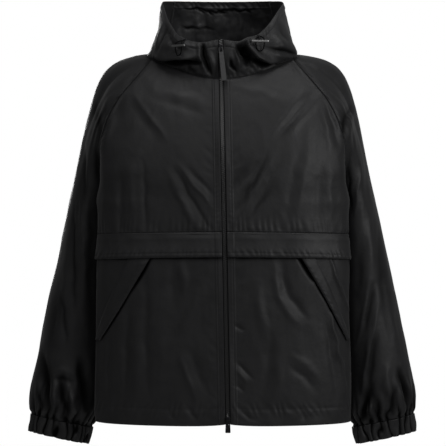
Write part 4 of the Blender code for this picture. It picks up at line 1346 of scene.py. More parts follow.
@dataclass(frozen=True)
class Pocket:
    """A pocket flap: x of its free edge's two ends, the edge's bow, and the flap's share of the front."""

    low_x: float
    high_x: float
    bow: float
    deep: float


POCKETS = {
    LEFT: Pocket(low_x=235.0, high_x=147.0, bow=16.0, deep=0.085),
    RIGHT: Pocket(low_x=232.0, high_x=135.0, bow=0.0, deep=0.125),
}
ENDS = (START, END)
ALL_ROUND = (*ENDS, LOW, HIGH)


@dataclass
class Torso:
    """Fronts, back, storm flaps and pocket flaps."""

    finishes: Wardrobe
    thread: Thread
    zip: Zip
    cloth: float = 1.1
    columns: int = 160
    upper_rows: int = 112
    lower_rows: int = 120
    facing: Pair = (0.02, 0.35)
    neck_front_z: float = -48.0
    neck_back_z: float = 14.0
    edge_stitch: float = 3.0
    wave_calm: float = 3.0
    seam_calm: float = 9.0
    seam_stitch: float = 3.4
    seam_shade: float = 0.6
    seam_shade_wide: float = 1.4
    raglan_waves: Puckers = Puckers(5.0, 7.0, 11.0, 0.7, 0.6, 51)
    neck_waves: Puckers = Puckers(4.0, 5.0, 16.0, 0.2, 0.3, 55)
    yoke_gathers: Puckers = Puckers(4.0, 20.0, 12.5, 0.9, 0.15, 53)
    yoke_stitch: float = 2.6
    underarm_full: float = 1.5
    underarm_x: Pair = (90.0, 185.0)
    underarm_z: Pair = (-283.0, -246.0)
    underarm_tall: float = 16.0
    placket: float = 12.0
    placket_rise: float = 0.9
    placket_step: float = 1.4
    placket_groove: Groove = Groove(9.8, 1.0, 0.7)
    placket_waves: Puckers = Puckers(22.0, 9.0, 27.0, 0.25, -0.8, 41)
    placket_fine: Puckers = Puckers(7.0, 5.0, 8.0, 0.3, 0.3, 43)
    hem_z: float = -708.0
    hem_deep: float = 31.0
    hem_groove: Groove = Groove(31.0, 1.4, 1.0)
    hem_waves: Puckers = Puckers(31.0, 11.0, 15.0, 0.8, 0.5, 47)
    hem_end_calm: float = 6.0
    hem_lift: float = 4.0
    flap_edge_z: float = -388.0
    flap_seam_z: float = -341.0
    flap_share: float = 0.93
    flap_rise: float = 1.7
    flap_free: float = 34.0
    flap_lift: float = 2.8
    flap_wave: float = 1.5
    flap_stitch: float = 8.0
    flap_groove: Groove = Groove(8.0, 1.3, 0.5)
    flap_roll: Groove = Groove(0.0, 1.6, 0.96)
    flap_waves: Puckers = Puckers(8.0, 7.0, 11.0, 0.7, 0.3, 63)
    flap_shade: float = 0.7
    flap_covers: int = 12
    pocket_z: Pair = (-544.0, -385.0)
    pocket_reach: float = 0.72
    pocket_trials: int = 200
    pocket_stand: float = 1.6
    pocket_open: float = 2.4
    pocket_roll: Groove = Groove(0.0, 2.2, 2.4)
    pocket_groove: Groove = Groove(5.0, 1.3, 0.5)
    pocket_waves: Puckers = Puckers(5.0, 5.0, 11.0, 0.4, 0.3, 67)
    pocket_stitches: Pair = (5.0, 11.0)
    back_raglan_row: int = 81
    back_waves: Puckers = Puckers(5.0, 7.0, 11.0, 0.6, 0.5, 71)

    def section(self, sections: Array, z: Array, u: Array, start_x: Array) -> Array:
        """Points of sections: cubic curves from the centre, flat at first, to the seam.

        Args:
            sections: the table of sections.
            z: heights, for the rows.
            u: shares of the way from the centre to the seam, for the columns.
            start_x: where each row starts.
        Returns:
            Points of the +X side.
        """
        y, reach, end_x, end_y, end_z, dx, dy, dz = np.moveaxis(spline(sections, z), -1, 0)
        start = np.stack([start_x + 0 * z, y, z], axis=-1)
        flat = start + np.stack([reach, 0 * z, 0 * z], axis=-1)
        end = np.stack([end_x, end_y, end_z], axis=-1)
        handle = end + np.stack([dx, dy, dz], axis=-1)
        row = tuple(p[..., None, :] for p in (start, flat, handle, end))
        return bezier(row, u + 0 * z[:, None])

    def shares(self) -> Array:
        """Shares across a front, closest together along the zip: a cubic of even steps."""
        step = np.linspace(0, 1, self.columns + 1)
        return 0.35 * step + 1.40 * step ** 2 - 0.75 * step ** 3

    def front(self, side: Side, z: Array, u: Array) -> Surface:
        """A front's plain sheet at heights z and shares u."""
        points = self.section(FRONT_SECTIONS, z, u, side.value * self.zip.x(z) + self.zip.half_gap)
        return Surface(points * side.mirror, side)

    def front_heights(self, plain: Surface) -> Array:
        """Folds where the picture shows them, crinkles, and fullness in front of the underarm."""
        folds = fold_heights(PICTURE.places(plain.points), FRONT_FOLDS[plain.side])
        x, z = np.abs(plain.points[..., 0]), plain.points[..., 2]
        inner, outer = self.underarm_x
        full = self.underarm_full * np.clip((x - inner) / (outer - inner), 0, 1.2) ** 2
        ridge, dip = self.underarm_z
        full *= bell(z, ridge, self.underarm_tall) - bell(z, dip, self.underarm_tall)
        return folds * plain.facing(self.facing) + full + crinkle_heights(plain.points, BODY_CRINKLES)

    def strip(self, far: Array) -> Array:
        """The step of the doubled strip along the zip, by the distance from the front's edge."""
        return self.placket_rise * (1 - smooth_step(self.placket, self.placket + self.placket_step, far))

    def zip_side(self, plain: Surface, low: Array) -> Array:
        """The doubled strip along the zip, and the waves that its stitches draw up."""
        far = plain.reach(START)
        waves = self.placket_waves.heights(far, low) + self.placket_fine.heights(far, low)
        return self.strip(far) + self.placket_groove.heights(far) + waves

    def hem_heights(self, plain: Surface) -> Array:
        """The hem: a groove along its stitches and small waves on both sides of it."""
        far = plain.reach(LOW)
        waves = self.hem_waves.heights(far, plain.reach(START))
        turned = 0.5 * (1 - smooth_step(self.hem_deep, self.hem_deep + 2.0, far))
        return (self.hem_groove.heights(far) + waves + turned) * plain.calm(ENDS, self.hem_end_calm)

    def build_upper(self, side: Side) -> Line:
        """An upper front; returns its edge along the zip."""
        z = np.linspace(self.flap_seam_z, self.neck_front_z, self.upper_rows + 1)
        plain = self.front(side, z, self.shares())
        far, low, start = plain.reach(END), plain.reach(LOW), plain.reach(START)
        waves = self.raglan_waves.heights(far, low) + self.yoke_gathers.heights(low, start)
        waves += self.neck_waves.heights(plain.reach(HIGH), start)
        heights = self.front_heights(plain) * plain.calm(ALL_ROUND, self.seam_calm)
        heights += self.zip_side(plain, low) * plain.calm((END, HIGH, LOW), 2.5)
        heights += waves * plain.calm(ALL_ROUND, self.wave_calm)
        # Painted shade: a dark line along the raglan seam, and dark bands along the chest's lines of painted
        # shade
        plain.creases = self.seam_shade * bell(far, 0.0, self.seam_shade_wide)
        plain.creases += trough_shares(PICTURE.places(plain.points), CHEST_PAINTED_SHADE[side], 10.0)
        sheet = plain.raised(heights)
        self.finish(sheet, plain, f"front_upper_{side.word}")
        self.thread.sew(sheet, START, self.placket, self.edge_stitch)
        self.thread.sew(sheet, END, self.seam_stitch)
        self.thread.sew(sheet, LOW, self.yoke_stitch)
        self.thread.sew(sheet, HIGH, self.seam_stitch)
        return plain.first_edge()

    def build_lower(self, side: Side) -> Line:
        """A lower front; returns its edge along the zip."""
        z = np.linspace(self.hem_z, self.flap_seam_z, self.lower_rows + 1)
        plain = self.front(side, z, self.shares())
        lift = self.hem_lift * np.exp(-plain.reach(START) / 26.0)
        lift *= 1 - smooth_step(0.0, 60.0, plain.reach(LOW))
        plain.points[..., 2] += lift
        calm = plain.calm(ENDS, self.seam_calm) * plain.calm((LOW,), 16.0)
        calm *= at_least(0.3, plain.calm((LOW,), 26.0))
        mouth = fold_heights(PICTURE.places(plain.points), POCKET_MOUTHS[side], 0.0)
        heights = self.front_heights(plain) * calm + mouth
        heights += self.zip_side(plain, plain.reach(LOW)) + self.hem_heights(plain)
        # Painted shadow under the storm flap's free edge, uneven along it, and painted shade in the pockets'
        # mouths
        below = self.flap_edge_z - plain.points[..., 2]
        shade = np.clip(self.flap_shade + 0.6 * FLAP_WAVE.heights(plain.points), 0, 1)
        shade *= bell(below, 0.0, 4.0)
        plain.creases = np.clip(-mouth / 8.0 + shade, 0, 1)
        sheet = plain.raised(heights)
        self.finish(sheet, plain, f"front_lower_{side.word}")
        shown = slice(-self.flap_covers)
        self.thread.sew(sheet, START, self.placket, self.edge_stitch, part=shown)
        self.thread.sew(sheet, LOW, self.hem_deep)
        return plain.first_edge()

    def build_flap(self, side: Side) -> None:
        """A storm flap: it lies on the lower front, and its free edge stands off a little."""
        z = np.linspace(self.flap_edge_z, self.flap_seam_z, 33)
        plain = self.front(side, z, self.flap_share * self.shares())
        far, along = plain.reach(LOW), plain.reach(START)
        calm = plain.calm((START,), self.seam_calm) * plain.calm((HIGH,), 12.0)
        settled = smooth_step(0.0, 14.0, plain.reach(HIGH))
        rise = self.flap_rise * at_least(0.2, settled)
        wavy = np.maximum(self.flap_wave * FLAP_WAVE.heights(plain.points), -0.8)
        rise += (1 - smooth_step(0.0, self.flap_free, far)) * (self.flap_lift + wavy)
        rise *= at_least(0.4, plain.calm((END,), 20.0))
        heights = self.front_heights(plain) * calm + rise + self.flap_waves.heights(far, along)
        heights += self.flap_groove.heights(far) + self.flap_roll.heights(far) + self.strip(along)
        sheet = plain.raised(heights)
        self.finish(sheet, plain, f"storm_flap_{side.word}", rests_on=(f"front_lower_{side.word}",))
        self.thread.sew(sheet, LOW, self.flap_stitch)

    def pocket_strip(self, side: Side, t: Array) -> Surface:
        """The strip of the lower front's plain sheet that a pocket flap lies on.

        Each row starts at the free edge's x, found among trial shares and smoothed by a polynomial.

        Args:
            side: the wearer's side.
            t: shares of the way up the flap, for the rows.
        Returns:
            The strip.
        """
        pocket = POCKETS[side]
        low_z, high_z = self.pocket_z
        z = low_z + t * (high_z - low_z)
        x = pocket.low_x + t * (pocket.high_x - pocket.low_x) + pocket.bow * t * (1 - t)
        trial = np.linspace(0, self.pocket_reach, self.pocket_trials)
        plain = np.abs(self.front(side, z, trial).points[..., 0])
        free = (plain < x[:, None]).sum(axis=1) / self.pocket_trials * self.pocket_reach
        free = np.polyval(np.polyfit(t, free, 4), t)
        return self.front(side, z, free[:, None] + np.linspace(0, pocket.deep, 23))

    def build_pocket(self, side: Side) -> None:
        """A slanted pocket flap: a strip of the lower front's sheet, stood off at its free edge."""
        t = np.linspace(0, 1, 71)
        strip = self.pocket_strip(side, t)
        far, seam = strip.reach(START), strip.reach(END)
        stand = self.pocket_stand + self.pocket_open * (1 - smooth_step(0.0, 22.0, far))
        stand += 1.2 * (1 - t[:, None])
        stand *= smooth_step(0.0, 10.0, seam)
        stand -= self.pocket_stand * np.exp(-seam / 4.0)
        stand *= 1 - 0.75 * smooth_step(0.90, 0.98, t[:, None])
        heights = self.front_heights(strip) + stand + self.pocket_roll.heights(far)
        heights += self.pocket_waves.heights(far, strip.reach(LOW)) + self.pocket_groove.heights(far)
        sheet = strip.raised(heights)
        self.finish(sheet, strip, f"pocket_flap_{side.word}", rests_on=(f"front_lower_{side.word}",))
        self.thread.sew(sheet, START, *self.pocket_stitches)

    def build_back(self) -> None:
        """The back, from the hem to the neck seam."""
        u = np.linspace(-1, 1, 125)
        z = np.linspace(self.hem_z, self.neck_back_z, 137)
        half = self.section(BACK_SECTIONS, z, np.abs(u), 0.0 * z)
        turn = np.stack([-np.sign(u), np.ones_like(u), np.ones_like(u)], axis=-1)
        plain = Surface(half * turn[None])
        calm = plain.calm((*ENDS, HIGH), self.seam_calm) * plain.calm((LOW,), 22.0)
        folds = fold_heights(plain.points[..., [0, 2]], BACK_FOLDS, 9.0, 50.0)
        folds *= plain.facing(self.facing, 1)
        heights = (folds + crinkle_heights(plain.points, BODY_CRINKLES)) * calm + self.hem_heights(plain)
        for edge in ENDS:
            waves = self.back_waves.heights(plain.reach(edge), plain.reach(LOW))
            heights += waves * plain.calm(ENDS, self.hem_end_calm)
        sheet = plain.raised(heights)
        self.finish(sheet, plain, "back")
        self.thread.sew(sheet, LOW, self.hem_deep)
        self.thread.sew(sheet, HIGH, self.seam_stitch)
        for edge in ENDS:
            self.thread.sew(sheet, edge, self.seam_stitch, part=slice(self.back_raglan_row, None))

    def finish(self, sheet: Surface, plain: Surface, node: str, held: str = "hung",
               rests_on: tuple[str, ...] = ()) -> None:
        """Build a sheet, put it in place of its solid and say what it was cut to.

        Args:
            sheet: the sheet with its folds.
            plain: the same sheet without them, for the size that it was cut to.
            node: the solid's name.
            held: how the sheet is held; not used.
            rests_on: solids that it lies on; not used.
        """
        thing = sheet.build(f"{node}_cloth", self.finishes.cloth, self.cloth)
        dress(thing, node)
        size, area = plain.flat_size()
        LOG.info("%s cut %.3f x %.3f m, %.4f square metres", node, *size, area)


@dataclass
class Sleeve:
    """A raglan sleeve with its gathered cuff."""

    side: Side
    torso: Torso
    neck_columns: int = 20
    raglan_rows: int = 56
    head_rows: int = 56
    arm_rows: int = 124
    facing: Pair = (-0.05, 0.3)
    underarm_z: float = -280.0
    underarm_reach: float = 0.60
    underarm_way: Triple = (0.72, 0.10, -0.68)
    top_way: Triple = (1.0, 0.02, -0.10)
    top_reach: float = 60.0
    arm_slope: float = 0.215
    shoulder_slope: float = 0.25
    seam_angle: float = 35.0
    head_pull_top: float = 0.385
    head_pull_seam: float = 0.33
    ring_pull_top: float = 0.78
    ring_pull_seam: float = 0.55
    fold_deep: float = 9.0
    head_waves: Puckers = Puckers(6.0, 7.0, 11.0, 0.7, 0.5, 83)
    pleats: int = 13
    pleat_seed: int = 81
    pleat_height: float = 3.2
    pleat_wander: float = 7.0
    pleat_noise: Pair = (2.1, 190.0)
    pleat_span: Pair = (-590.0, -680.0)
    drawn_height: float = 8.5
    drawn_reach: float = 24.0
    drawn_shade: float = 0.45
    taper: float = 4.0
    gathers: int = 20
    gather_seeds: tuple[int, int] = (91, 95)
    gather_wander: float = 3.4
    gather_round: float = 0.75
    gather_middle: float = 0.7
    gather_vary: float = 1.3
    cuff_thick: float = 1.6
    cuff_height: float = 6.8
    cuff_lap: float = 0.8

    def neck_edge(self) -> Array:
        """The sleeve's neck edge from its front seam to its back one, a cubic curve."""
        front = spline(FRONT_SECTIONS, self.torso.neck_front_z)[2:5]
        back = spline(BACK_SECTIONS, self.torso.neck_back_z)[2:5]
        t = np.linspace(0, 1, self.neck_columns + 1)
        handles = (front + NECK_EDGE_FRONT_HANDLE, back + NECK_EDGE_BACK_HANDLE)
        return bezier((front, *handles, back), t)

    def rings(self, table: Array, z: Array, angles: Array) -> Array:
        """Ellipses square to the arm at outer heights z: angle 0 outside, 90 in front."""
        outer_x, inner_x, middle_y, half_depth = np.moveaxis(spline(table, z), -1, 0)[..., None]
        half = (outer_x - inner_x) / 2
        swing = np.radians(angles)[None, :]
        x = outer_x - half + half * np.cos(swing)
        y = middle_y - half_depth * np.sin(swing)
        return np.stack([x, y, z[:, None] + (x - outer_x) * self.arm_slope], axis=-1)

    def seam_way(self, seam: Array, handle: Array) -> Array:
        """How the cloth leaves a raglan seam: on from the front or back, and down at the underarm."""
        down = unit(np.gradient(seam, axis=0))
        leave = unit(unit(-handle) + down)
        near = smooth_step(0.0, self.underarm_reach, np.linspace(1, 0, len(seam)))[:, None]
        return unit(near * leave + (1 - near) * np.array(self.underarm_way))

    def loop(self) -> tuple[Array, Array, Array, Array]:
        """The top loop: from the neck edge's middle down the front seam and up the back one.

        Returns:
            Its points, their angles, how the cloth leaves them and how it nears the arm.
        """
        edge, middle = self.neck_edge(), self.neck_columns // 2
        rise = np.linspace(self.underarm_z, self.torso.neck_front_z, self.raglan_rows + 1)
        back_rise = np.linspace(self.underarm_z, self.torso.neck_back_z, self.raglan_rows + 1)
        front_end, back_end = spline(FRONT_SECTIONS, rise[::-1]), spline(BACK_SECTIONS, back_rise)
        front, back = front_end[:, 2:5], back_end[:, 2:5]
        points = np.concatenate([edge[middle:0:-1], front, back[1:], edge[-2:middle:-1]])
        swing = 180 - self.seam_angle
        front_angles = self.seam_angle + swing * np.linspace(0, 1, len(front))
        back_angles = 180 + swing * np.linspace(0, 1, len(back))[1:]
        share = np.arange(middle) / middle
        turn = self.seam_angle * share
        angles = np.concatenate([turn, front_angles, back_angles, 360 - turn[:0:-1]])
        front_way = self.seam_way(front, front_end[:, 5:8])
        back_way = self.seam_way(back[::-1], back_end[::-1, 5:8])[::-1]
        top_way = (1 - share[:, None]) * np.array(self.top_way)
        neck_front = unit(top_way + share[:, None] * front_way[0])
        neck_back = unit(top_way + share[:, None] * back_way[-1])
        ways = np.concatenate([neck_front, front_way, back_way[1:], neck_back[:0:-1]])
        top = 1 - smooth_step(0, self.top_reach, np.minimum(angles, 360 - angles))[:, None]
        leave = self.head_pull_seam + (self.head_pull_top - self.head_pull_seam) * top
        arrive = self.ring_pull_seam + (self.ring_pull_top - self.ring_pull_seam) * top
        return points, angles, ways * leave, arrive

    def plain(self) -> tuple[Surface, Array, Array]:
        """The plain sleeve: a head of cubic curves from the loop, then rings down to the cuff.

        Returns:
            The sheet, its columns' angles and its rows' outer heights.
        """
        loop, angles, leave, arrive = self.loop()
        first_z = SLEEVE_RINGS[-1, 0]
        first = self.rings(SLEEVE_RINGS, np.array([first_z]), angles)[0]
        far = np.linalg.norm(first - loop, axis=-1, keepdims=True)
        arm_up = unit(np.array((-self.shoulder_slope, 0.0, 1.0)))
        t = np.linspace(0, 1, self.head_rows + 1)[:-1, None] + 0 * angles[None, :]
        head = bezier((loop, loop + leave * far, first + arm_up * arrive * far, first), t)
        z = np.linspace(first_z, SLEEVE_RINGS[0, 0], self.arm_rows + 1)
        arm = self.rings(SLEEVE_RINGS, z, angles)
        points = np.concatenate([head, arm]) * self.side.mirror
        outer = np.concatenate([np.full(self.head_rows, first_z), z])
        return Surface(points, self.side, closed=True), angles, outer

    def round_spots(self, turn: Array, radius: float, down: Array) -> Array:
        """Places for noise on a tube: angles in radians on a circle of a radius, and steps down."""
        return np.stack(np.broadcast_arrays(np.cos(turn) * radius, np.sin(turn) * radius, down), axis=-1)

    def gather_lobes(self, turn: Array, rise: Array) -> Array:
        """Rounded gathers with narrow valleys: the size of an uneven cosine, by a power.

        Args:
            turn: angles round the arm in radians.
            rise: places down the arm, in steps of the unevenness.
        Returns:
            Shares of the gathers' height, from about -1.2 to 0.5.
        """
        spots = self.round_spots(turn, 3.0, rise)
        wander_seed, vary_seed = self.gather_seeds
        wander = Grain(wander_seed + self.side.value).values(spots + 9.0)
        uneven = Grain(vary_seed + self.side.value).values(spots * 1.7 + 2.0)
        lobes = np.abs(np.cos(self.gathers / 2 * turn + self.gather_wander * wander)) ** self.gather_round
        return (1.0 + self.gather_vary * uneven) * (lobes - self.gather_middle)

    def pleat_heights(self, far: Array, angles: Array, outer: Array) -> tuple[Array, Array]:
        """Pleats that the cuff draws up: uneven waves round the arm, deeper towards the cuff.

        Args:
            far: each point's distance from the cuff.
            angles: the columns' angles.
            outer: the rows' outer heights.
        Returns:
            Heights in millimetres, and the painted shade in the gathers' troughs and towards the cuff, from
            0 to 1.
        """
        turn = np.radians(angles)[None, :]
        radius, step = self.pleat_noise
        spots = self.round_spots(turn, radius, outer[:, None] / step)
        wander = Grain(self.pleat_seed + self.side.value).values(spots + 5.0)
        wave = np.cos(self.pleats * turn + self.pleat_wander * wander)
        wave *= smooth_step(*self.pleat_span, outer)[:, None] * (1 - np.exp(-far / 12.0))
        drawn = self.drawn_height * np.exp(-far / self.drawn_reach)
        drawn = drawn * self.gather_lobes(turn, -far / 45.0)
        taper = 1 - smooth_step(0.0, 60.0, far) + np.exp(-far / 5.0)
        # Painted shade: darker towards the cuff, and darker in the drawn-up gathers' troughs
        shade = self.drawn_shade * np.exp(-far / 28.0)
        creases = np.clip(-drawn / 4.0 + shade, 0, 1)
        return self.pleat_height * wave + drawn - self.taper * taper, creases

    def build(self) -> None:
        """The sleeve's cloth and its stitches."""
        plain, angles, outer = self.plain()
        low, high = plain.reach(LOW), plain.reach(HIGH)
        facing = plain.facing(self.facing)
        seen = PICTURE.places(plain.points)
        folds = fold_heights(seen, SLEEVE_FOLDS[self.side]) * facing
        round_arm = np.stack(np.broadcast_arrays(angles[None, :], outer[:, None]), axis=-1)
        folds += fold_heights(round_arm, SLEEVE_BACK_FOLDS[self.side], 8.0, 45.0) * (1 - facing)
        calm = plain.calm((LOW,), 12.0)
        calm *= at_least(0.25, plain.calm((HIGH,), 14.0))
        pleats, creases = self.pleat_heights(high, angles, outer)
        drawn = self.head_waves.heights(low, plain.reach(START))
        drawn *= plain.calm((LOW,), self.torso.wave_calm)
        heights = (folds + crinkle_heights(plain.points, SLEEVE_CRINKLES)) * calm + pleats + drawn
        # Painted shade in the folds' troughs, along the lines of painted shade, along the raglan seam and in
        # the head's puckers
        shade = trough_shares(seen, SLEEVE_FOLDS[self.side], self.fold_deep) * facing * calm
        shade += trough_shares(seen, SLEEVE_PAINTED_SHADE[self.side], self.fold_deep) * facing
        shade += self.torso.seam_shade * bell(low, 0.0, self.torso.seam_shade_wide)
        shade += np.clip(-drawn - 0.2, 0, 1)
        plain.creases = np.clip(np.maximum(creases, shade), 0, 1)
        sheet = plain.raised(heights)
        lapped = CUFF_RINGS[-1, 0] - np.array((self.cuff_lap, 5 * self.cuff_lap))
        edge = self.cuff(lapped, angles, 1.2).points[0]
        sheet.points += (edge - sheet.points) * bell(high, 0.0, 2.5)[..., None]
        self.torso.finish(sheet, plain, f"sleeve_{self.side.word}")
        self.torso.thread.sew(sheet, LOW, self.torso.seam_stitch)

    def cuff(self, z: Array, angles: Array, inside: float = 0.0) -> Surface:
        """Rows of the cuff: uneven gathers on plain rings, fuller in the middle than at the edges.

        Args:
            z: the rows' outer heights.
            angles: the columns' angles.
            inside: how far inside the cuff's cloth.
        Returns:
            The rows.
        """
        plain = Surface(self.rings(CUFF_RINGS, z, angles) * self.side.mirror, self.side, closed=True)
        down = ((CUFF_RINGS[-1, 0] - z) / (CUFF_RINGS[-1, 0] - CUFF_RINGS[0, 0]))[:, None]
        lobes = self.gather_lobes(np.radians(angles)[None, :], 0.7 * down)
        # Painted shade in the valleys between the gathers
        plain.creases = np.clip(-1.6 * lobes - 0.15, 0, 1)
        return plain.raised(self.cuff_height * lobes + 0.8 * np.sin(math.pi * down) - inside)

    def build_cuff(self) -> None:
        """The cuff: a doubled band in gathers."""
        count = self.gathers * 16
        angles = np.arange(count) * 360.0 / count
        z = np.linspace(CUFF_RINGS[-1, 0] + self.cuff_lap, CUFF_RINGS[0, 0], 25)
        sheet = self.cuff(z, angles)
        thing = sheet.build(f"cuff_{self.side.word}_cloth", self.torso.finishes.cloth, self.cuff_thick)
        dress(thing, f"cuff_{self.side.word}")
        size, area = sheet.flat_size()
        LOG.info("cuff cut %.3f x %.3f m, %.4f square metres", *size, area)


@dataclass
class Hood:
    """The hood, folded down: two sides that stand round the neck, and a centre that hangs behind."""

    torso: Torso
    sleeve: Sleeve
    front_columns: int = 70
    back_columns: int = 64
    side_rows: int = 90
    centre_rows: int = 132
    lean_share: float = 0.1
    casing: float = 13.0
    casing_rise: float = 1.8
    casing_groove: Groove = Groove(13.0, 1.5, 0.4)
    casing_gathers: Puckers = Puckers(9.1, 9.0, 14.0, 1.0, 0.4, 97)
    neck_waves: Puckers = Puckers(6.0, 8.0, 11.0, 0.8, 0.3, 99)
    side_facing: Pair = (-0.15, 0.2)
    rim_calm: float = 9.0
    fold_deep: float = 12.0
    inside_facing: Pair = (0.0, 0.25)
    inside_z: Pair = (20.0, 45.0)
    # Painted light on the inside of the hood, and the share of it given to the hood sides
    reverse: float = 0.28
    reverse_side: float = 0.6

    def ring(self, side: Side) -> tuple[Array, Array]:
        """Half of the neck seam from the zip to the centre back at +X, and each point's share."""
        u = np.linspace(0, 1, self.front_columns + 1)
        low = np.array([self.torso.neck_front_z])
        start = side.value * self.torso.zip.x(low) + self.torso.zip.half_gap
        front = self.torso.section(FRONT_SECTIONS, low, u, start)[0]
        back_u = np.linspace(1, 0, self.back_columns + 1)
        high = np.array([self.torso.neck_back_z])
        back = self.torso.section(BACK_SECTIONS, high, back_u, 0.0 * high)[0]
        ring = np.concatenate([front, self.sleeve.neck_edge()[1:-1], back])
        run = runs(ring)
        return ring, run / run[-1]

    def points(self, ring: Array, share: Array, t: Array, side: Side = LEFT) -> Array:
        """Curves of the fourth degree at +X, with t from the neck seam's points to the rim."""
        values = spline(HOOD_MERIDIANS, share)
        values[:, [0, 2]] += spline(HOOD_RIM_SHIFTS[side], share)
        rim, neck_handle, belly, rim_handle = (values[:, k:k + 3] for k in (0, 3, 6, 9))
        belly = (ring + rim) / 2 + belly
        grid_t = t[:, None] + 0 * share[None, :]
        return bezier((ring, ring + neck_handle, belly, rim + rim_handle, rim), grid_t)

    def rim_heights(self, plain: Surface, drawn_up: float) -> Array:
        """The casing along the rim: a rounded tunnel with a groove and gathers at its stitches."""
        far = plain.reach(HIGH)
        share = np.clip(far / self.casing, 0, 1)
        tunnel = self.casing_rise * np.sqrt(share * (1 - share))
        gathers = drawn_up * self.casing_gathers.heights(far, plain.reach(START))
        return (tunnel + self.casing_groove.heights(far) + gathers) * plain.calm(ENDS, 6.0)

    def build_side(self, side: Side) -> Line:
        """A hood side; returns its edge along the zip."""
        ring, share = self.ring(side)
        last = self.front_columns + self.sleeve.neck_columns + 1
        grid = self.points(ring[:last], share[:last], np.linspace(0, 1, self.side_rows + 1), side)
        beside = side.value * self.torso.zip.x(grid[..., 2]) + self.torso.zip.half_gap - grid[:, :1, 0]
        grid[..., 0] += beside * np.clip(1 - share[:last] / self.lean_share, 0, 1)[None, :]
        plain = Surface(grid * side.mirror, side)
        facing = plain.facing(self.side_facing)
        seen = PICTURE.places(plain.points)
        calm = plain.calm((LOW, END), 8.0)
        calm *= plain.calm((START,), 10.0) * plain.calm((HIGH,), self.rim_calm)
        folds = fold_heights(seen, HOOD_FOLDS[side]) * facing
        heights = (folds + crinkle_heights(plain.points, HOOD_CRINKLES)) * calm
        heights += self.rim_heights(plain, 0.45)
        waves = self.neck_waves.heights(plain.reach(LOW), plain.reach(START))
        heights += waves * plain.calm((LOW, *ENDS), self.torso.wave_calm)
        # Painted shade in the folds' troughs, and painted light that lightens the cloth towards the back of
        # the side
        plain.creases = trough_shares(seen, HOOD_FOLDS[side], self.fold_deep) * facing * calm
        turned = smooth_step(0.36, 0.50, share[:last])[None, :]
        plain.creases -= self.reverse_side * self.reverse * turned
        sheet = plain.raised(heights)
        sheet.points[..., 2] -= fold_heights(seen, HOOD_SAGS[side]) * facing * calm
        tucked = fold_heights(seen, HOOD_TUCKS[side], 0.0)
        sheet.points[..., 0] -= side.value * tucked * plain.calm((LOW, END), 16.0)
        self.torso.finish(sheet, plain, f"hood_side_{side.word}", "draped")
        self.torso.thread.sew(sheet, HIGH, self.casing)
        self.torso.thread.sew(sheet, LOW, self.torso.seam_stitch)
        self.torso.thread.sew(sheet, START, self.torso.edge_stitch)
        return plain.first_edge()

    def build_centre(self) -> None:
        """The centre panel, over the pouch behind the neck."""
        ring, share = self.ring(LEFT)
        first = self.front_columns + self.sleeve.neck_columns - 1
        rise = 1 - np.linspace(1, 0, self.centre_rows + 1) ** 2.8
        half = self.points(ring[first:], share[first:], rise)
        plain = Surface(np.concatenate([half, half[:, -2::-1] * RIGHT.mirror], axis=1))
        inside = plain.facing(self.inside_facing, 1) * smooth_step(*self.inside_z, plain.points[..., 2])
        seen = PICTURE.places(plain.points)
        folds = -fold_heights(seen, HOOD_BACK_FOLDS + HOOD_BACK_CREASES) * inside
        heights = folds + crinkle_heights(plain.points, HOOD_CRINKLES)
        heights *= plain.calm(ALL_ROUND, self.rim_calm)
        heights += self.rim_heights(plain, 0.8)
        # Painted shade in the troughs of the inside's gathers behind the neck, and painted light over the
        # seen inside, less towards its ends
        creases = trough_shares(seen, HOOD_BACK_CREASES, 2.2)
        creases -= self.reverse * at_least(0.4, plain.calm(ENDS, 40.0))
        plain.creases = creases * inside
        sheet = plain.raised(heights)
        self.torso.finish(sheet, plain, "hood_centre", "draped", ("back",))
        self.torso.thread.sew(sheet, HIGH, self.casing)


